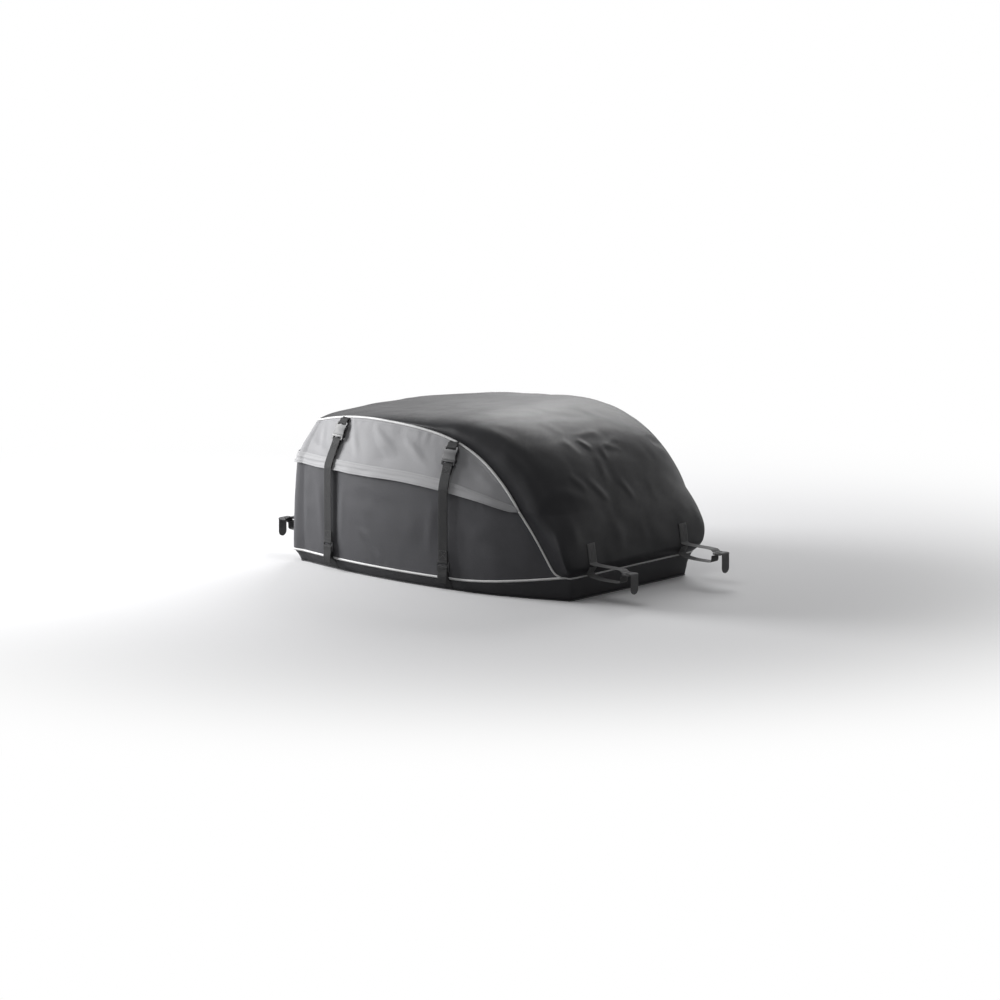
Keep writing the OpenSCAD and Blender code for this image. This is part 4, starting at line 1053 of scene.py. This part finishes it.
# Sliders and pulls: two painted zinc sliders that close the zipper towards the middle of the rear, each
# with a moulded pull tab on its pin. Their edges are rounded as castings are.
def dressed(node_name, name, radius, material, slot_name, body=None):
    """A copy of a hard CAD piece with its flat faces joined, its sharp edges rounded and its material."""
    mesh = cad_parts[node_name].data.copy()
    mesh.materials.clear()
    mesh.materials.append(material)
    work = bmesh.new()
    work.from_mesh(mesh)
    bmesh.ops.remove_doubles(work, verts=work.verts, dist=1e-6)
    bmesh.ops.dissolve_limit(work, angle_limit=0.02, verts=work.verts, edges=work.edges)
    for face in work.faces:
        face.smooth = True
    work.to_mesh(mesh)
    work.free()
    mesh.update()
    piece = bpy.data.objects.new(name, mesh)
    scene.collection.objects.link(piece)
    rounding = piece.modifiers.new("rounded_edges", "BEVEL")
    rounding.width = radius
    rounding.segments = 3
    rounding.limit_method = "ANGLE"
    rounding.angle_limit = 0.6
    rounding.harden_normals = True
    return sewn(piece, body or node_name, slot_name, node_name)


# dark painted zinc casting, worn brighter and smoother in patches
zinc, tree = blank_material("painted_zinc")
wear = {"Value": noise(tree, object_place(tree), 500.0, 4.0), "From Min": 0.52, "From Max": 0.7}
worn = node(tree, "MapRange", wear).outputs[0]
tone = mixed(tree, worn, (0.05, 0.05, 0.055), (0.25, 0.25, 0.26))
finished(zinc, tone, scaled(tree, worn, 0.45, 0.25), Metallic=0.7)
pull_rubber = moulded_plastic("pull_rubber", (0.03, 0.03, 0.03), 0.6)
for side, hand in both_sides:
    dressed("slider_" + hand, "zip_slider_" + hand, 0.0004, zinc, "slider_metal")
    dressed("zip_pull_" + hand, "zip_pull_tab_" + hand, 0.0005, pull_rubber, "pull_rubber")


# Side straps: black polyester webbing. A tab sewn into the arched seam holds the buckle's socket; the
# strap runs from the plug's bar over the storm flap to the ladder lock; the anchor webbing comes up from
# the boxing behind the lock, over its middle bar, and leaves a loose tail in front.
web_w = 0.030
web_t = 0.0016
bar_r = 0.0018
loop_r = bar_r + 0.0003 + web_t / 2
leg = web_t / 2 + 0.0003
hard_w = web_w + 0.012
stitch_l = 0.026
strap_stand = 0.010
lock_z = 0.074
lock_l = 0.020
socket_bar = -0.013
plug_bar = socket_bar - 0.006 - 0.028 - 0.011
web_cloth = woven_tape("black_webbing", (0.022, 0.022, 0.023), 0.62, 0.0021, 0.00016)


def rounded(path):
    """The same path with its corners cut twice, each time a quarter of the way along both sides."""
    for _ in range(2):
        near = path[:-1] * 0.75 + path[1:] * 0.25
        far = path[:-1] * 0.25 + path[1:] * 0.75
        path = joined(path[:1], np.stack([near, far], axis=1).reshape(-1, path.shape[1]), path[-1:])
    return path


def webbing(name, path, across, body, cloth, *nodes, tongue=0):
    """Flat webbing along a path: a flattened oval, a little fuller at its two selvedges, carried along. Over
    its last tongue metres it narrows as a half ellipse does, where its end is cut round."""
    run = lengths(path)[-1]
    even = paced(np.hstack([path, np.broadcast_to(across, path.shape)]), max(int(run / 0.0015), 8))
    path, side = even[:, :3], unit(even[:, 3:])
    out = unit(np.cross(tangents(path), side))
    turn = np.linspace(0, 2 * np.pi, 28, endpoint=False) + np.pi / 28
    flat = np.sign(np.cos(turn)) * np.abs(np.cos(turn)) ** 0.5
    high = np.sign(np.sin(turn)) * np.abs(np.sin(turn)) ** 0.45
    oval = stacked(web_w / 2 * flat, web_t / 2 * high * (0.86 + 0.14 * flat**4))
    left = np.linspace(run, 0, len(path)) / tongue if tongue else np.ones(len(path))
    slim = np.sqrt(1 - 0.99 * np.clip(1 - left, 0, 1) ** 2)
    piece = swept(name, path, oval * stacked(slim, 1)[:, None], side, out)
    return sewn(piece, body, "webbing", *nodes, cloth=cloth)


def plan_angle(x):
    """Direction of the wall at x, in plan."""
    return np.arcsin((x + widest_back) / side_arc_r)


def off_wall(x, side, path):
    """Places a path of [inwards, up] in the upright plane square to the wall at x."""
    turn, inwards = plan_angle(x), np.asarray(path)[:, 0]
    y = -wall_y(x) + inwards * np.cos(turn)
    return stacked(x - inwards * np.sin(turn), -side * y, np.asarray(path)[:, 1])


def along_wall(x, side):
    """Level direction along the wall at x, the direction of a strap's width."""
    return np.array([np.cos(plan_angle(x)), -side * np.sin(plan_angle(x)), 0])


def arc(centre, radius, start, end):
    """Points of a circular arc between two angles in degrees."""
    turn = np.radians(np.linspace(start, end, 12))
    return np.array(centre) + radius * stacked(np.cos(turn), np.sin(turn))


def lean_w(x):
    """How far the upper wall leans in at x."""
    return wall_y(x) - seam_y(x)


def strap_top(x):
    """Where the strap's line starts under the arched seam, [inwards, up], and how far it stands off the
    twisting wall there."""
    x_top = x - lean_w(x) * np.sin(plan_angle(x))
    reach = (wall_y(x) - seam_y(x_top)) / np.cos(plan_angle(x))
    off = 0.006 + hard_w / 2 * abs(lean_w(x - 0.010) - lean_w(x + 0.010)) / 0.020
    return np.array([reach - off, arch_z(x_top) - 0.003]), off


def strap_pass(x):
    """Where the strap passes over the storm flap, [inwards, up]."""
    return np.array([-flap_stand - flap_t - web_t / 2 - 0.0012, zip_line(x) + 0.004])


def strap_tilt(x):
    """How far the strap leans in above the storm flap."""
    return np.arctan2(*(strap_top(x)[0] - strap_pass(x)))


def on_strap(x, points):
    """Points of the buckle's own plane, [inwards, up the strap], in the plane square to the wall."""
    tilt, (across, up) = strap_tilt(x), np.atleast_2d(points).T
    moved = stacked(across * np.cos(tilt) + up * np.sin(tilt), up * np.cos(tilt) - across * np.sin(tilt))
    return strap_top(x)[0] + moved


def strap_path(x):
    """From the stitched end up round the plug's bar, down over the flap to the lock's bar and back up."""
    y, mid = -strap_stand, strap_pass(x)
    up_side = on_strap(x, [[leg, plug_bar - stitch_l], [leg, plug_bar - 0.006]])
    over_bar = on_strap(x, arc([0, plug_bar], loop_r, 0, 180))
    down = [mid - [0.0004, 0], [mid[0] - 0.0008, zip_line(x) - 0.014]]
    fall = [[y - leg - 0.0006, (zip_line(x) + lock_z) / 2], [y - leg, lock_z + 0.008]]
    under_bar = arc([y, lock_z], loop_r, 180, 360)
    back = [[y + leg, lock_z + 0.008], [y + leg, lock_z + 0.006 + stitch_l]]
    return joined(up_side, over_bar, on_strap(x, [-leg, plug_bar - 0.006]), down, fall, under_bar, back)


def anchor_path():
    """From under the boxing up its slope and behind the lock, over its middle bar and down into the tail."""
    y, mid, around = -strap_stand, lock_z - lock_l / 2, 0.0016 + 0.0007 + web_t / 2
    slope = unit(np.array([floor_inset - seam_gap, panel_t + 0.0005 - foot_z]))
    off = np.array([slope[1], -slope[0]]) * (web_t / 2 + 0.0004)
    foot = np.array([seam_gap, foot_z - seam_gap]) + off
    end = np.array([floor_inset, panel_t]) + off - slope * 0.004
    low = [end, foot + slope * 0.014, foot + slope * 0.008 - [0.0015, 0]]
    rise = [-piping_r, foot_z] + np.array([[-0.0016, -0.002], [-0.0018, 0.006]])
    behind = [y + around, mid - 0.006]
    tail = [y - around, lock_z - lock_l] + np.array([[0, -0.002], [-0.0026, -0.017], [-0.0004, -0.034]])
    return joined(low, rise, [behind], arc([y, mid], around, 0, 180), tail)


def crossed_box(name, path, across, away, start, end, body):
    """A rectangle of stitches with its two diagonals, through webbing, from start to end along its path."""
    half = web_w / 2 - 0.0035
    corner = np.array([[-half, start], [half, start], [half, end], [-half, end]])
    mids, dirs = [], []
    for a, b in ((0, 1), (1, 2), (2, 3), (3, 0), (0, 2), (1, 3)):
        line = corner[b] - corner[a]
        count = max(int(round(np.linalg.norm(line) / 0.0036)), 2)
        mids.append(corner[a] + line * (np.arange(count)[:, None] + 0.5) / count)
        dirs.append(np.tile(unit(line), (count, 1)))
    mids, dirs, run = joined(*mids), joined(*dirs), lengths(path)
    side = unit(read_off(mids[:, 1], run, np.broadcast_to(across, path.shape)))
    down = read_off(mids[:, 1], run, tangents(path))
    normal = unit(np.cross(down, side))
    normal *= np.sign(normal @ np.array(away))[:, None]
    spots = read_off(mids[:, 1], run, path) + side * mids[:, :1] + normal * (web_t / 2 + 0.0001)
    way = side * dirs[:, :1] + down * dirs[:, 1:]
    piece = repeated(name, dash, bar_faces[:, ::-1], spots, way, np.cross(normal, way), normal)
    return sewn(piece, body, "webbing", cloth=box_thread)


# sockets of satin grey acetal on the tabs, plugs and ladder locks of black acetal
grey_acetal = moulded_plastic("grey_acetal", (0.085, 0.085, 0.088), 0.52)
black_acetal = moulded_plastic("black_acetal", (0.022, 0.022, 0.024), 0.42)
for x, end in zip(strap_x, ("rear", "front")):
    tilt, off = strap_tilt(x), strap_top(x)[1]
    root = [off * np.cos(tilt) - 0.003 * np.sin(tilt), off * np.sin(tilt) + 0.003 * np.cos(tilt)]
    loop = arc([0, socket_bar], loop_r, 0, -180)
    tab = joined([root, [leg + 0.0006, 0.001], [leg, -0.006]], loop, [[-leg, -0.006], [-leg, 0]])
    low_face = [[-strap_stand - leg, lock_z + 0.034], [-strap_stand - leg, lock_z + 0.008]]
    high_face = on_strap(x, [[-leg, plug_bar - 0.007], [-leg - 0.0001, plug_bar - 0.027]])
    for side, hand in both_sides:
        tag, width, away = end + "_" + hand, along_wall(x, side), (0, side, 0)
        path = off_wall(x, side, rounded(on_strap(x, tab)))
        webbing("buckle_tab_" + tag, path, width, "lid", web_cloth, "buckle_tabs")
        path = off_wall(x, side, rounded(strap_path(x)))
        strap = webbing("side_webbing_" + tag, path, width, None, web_cloth, "side_strap_" + tag)
        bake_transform(strap)
        path = off_wall(x, side, rounded(anchor_path()))
        anchor = webbing("anchor_webbing_" + tag, path, width, None, web_cloth, "anchor_web_" + tag)
        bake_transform(anchor)
        path = off_wall(x, side, low_face)
        crossed_box("strap_box_stitch_" + tag, path, width, away, 0.002, 0.024, "tub")
        path = off_wall(x, side, high_face)
        stitch = crossed_box("plug_box_stitch_" + tag, path, width, away, 0.0, 0.018, None)
        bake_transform(stitch)
        dressed("socket_" + tag, "buckle_socket_" + tag, 0.0011, grey_acetal, "buckle_grey", "lid")
        dressed("plug_" + tag, "buckle_plug_" + tag, 0.0008, black_acetal, "buckle_black")
        dressed("side_lock_" + tag, "ladder_lock_" + tag, 0.0007, black_acetal, "buckle_black")


# Tie downs: at each end two webbings stitched to the bag, one over and one under the car's load bar, and
# a loose tail that goes through the ladder lock which joins them.
# painted sheen: the tie webbing's grey is lighter than the black side webbing's, standing in for the sheen of
# its yarns
tie_cloth_painted_sheen = woven_tape("tie_webbing_painted_sheen", (0.11, 0.11, 0.112), 0.6, 0.0021, 0.00016)
bar_w = 0.080
bar_top = 0.092
bar_low = 0.060
bar_in = half_l + 0.016
bar_out = bar_in + bar_w
over = web_t / 2 + 0.0008
tie_lock_x = bar_out + 0.012
tie_lock_z = bar_top - 0.008
tail_z = bar_top - 0.018


def end_wall(end, y, z):
    """Distance from the bag's middle to its nose (end 1) or rear wall (end -1) at y and height z.
    Below the foot seam it stays what it is at the seam."""
    if end > 0:
        z = np.maximum(z, nose_foot_z)
        share = y / (wall_y(arch_x(z)) - seam_in)
        v = share
        for _ in range(6):
            v = share / cheeks(z, v)
        return cover_nose(z, v)[..., 0]
    k = (np.maximum(z, foot_z) - foot_z) / (zip_z - foot_z)
    v = y / wall_y(corner_x)
    return (k - 1) * rear_wall(v, rear_foot_n)[..., 0] - k * rear_wall(v, zip_n)[..., 0]


def tie_path(end, side, points, z_sewn):
    """A tie down's path and its width's direction: sewn flat on the wall at the heights z_sewn, then the
    points [away from the middle, up] in the upright plane at tie_y."""
    wall = end_wall(end, tie_y, z_sewn) + web_t / 2 + 0.0002
    out, up = rounded(joined(stacked(wall, z_sewn), points)).T
    slant = end_wall(end, tie_y + web_w / 2, up) - end_wall(end, tie_y - web_w / 2, up)
    free = ramp(out - half_l, 0, 0.012)
    return stacked(end * out, side * tie_y, up), stacked(end * slant * (1 - free), side * web_w, 0)


tie_lock = np.array([tie_lock_x, tie_lock_z])
over_bar = [bar_out, bar_top + over] + np.array([[-bar_w, 0.0004], [-0.006, 0], [0.002, -0.0024]])
round_lock = joined([[-0.005, leg + 0.0014]], arc([0, 0], loop_r, 90, -90), [[-0.005, -leg - 0.0004]])
upper_end = joined(over_bar, tie_lock + round_lock)
under_bar = [[-bar_w, -over], [-0.006, -over], [0.0006, 0.001], [over, 0.007], [over, tail_z - bar_low]]
lower_end = [bar_out, bar_low] + np.array(under_bar)
tail_foot = [[over, tail_z], [over, tail_z + 0.001], [over + 0.0014, tie_lock_z - 0.0066]]
through_lock = [[0.003, -0.0056], [0.0054, -0.003], [0.0062, 0], [0.008, 0.0026], [lock_l / 2 + 0.003, 0.003]]
hanging_end = [[0, loop_r + 0.0002], [0.0034, 0.0016], [0.0046, -0.003], [0.0046, -0.050]]
tail_foot = [bar_out, 0] + np.array(tail_foot)
tail_end = joined(tail_foot, tie_lock + through_lock, tie_lock + [lock_l, 0] + hanging_end)
upper_sewn = bar_top + 0.004 + 0.052 * (1 - np.linspace(0, 1, 8))
lower_sewn = np.array([bar_top - 0.004, bar_top - 0.012, nose_foot_z + 0.004])
for end, place in ((1, "front"), (-1, "rear")):
    for side, hand in both_sides[::-1]:
        tag = place + "_" + hand
        path, width = tie_path(end, side, upper_end, upper_sewn)
        webbing("tie_over_" + tag, path, width, "tub", tie_cloth_painted_sheen, "tie_upper_" + tag)
        crossed_box("tie_box_stitch_" + tag, path, width, (end, 0, 0), 0.005, 0.046, "tub")
        path, width = tie_path(end, side, lower_end, lower_sewn)
        webbing("tie_under_" + tag, path, width, "tub", tie_cloth_painted_sheen, "tie_lower_" + tag)
        out, up = rounded(tail_end).T
        path = stacked(end * out, side * tie_y, up)
        tail = webbing("tie_tail_" + tag, path, (0, side, 0), None, tie_cloth_painted_sheen, "tie_tails", tongue=0.014)
        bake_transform(tail)
        dressed("tie_lock_" + tag, "tie_ladder_lock_" + tag, 0.0007, grey_acetal, "buckle_grey")
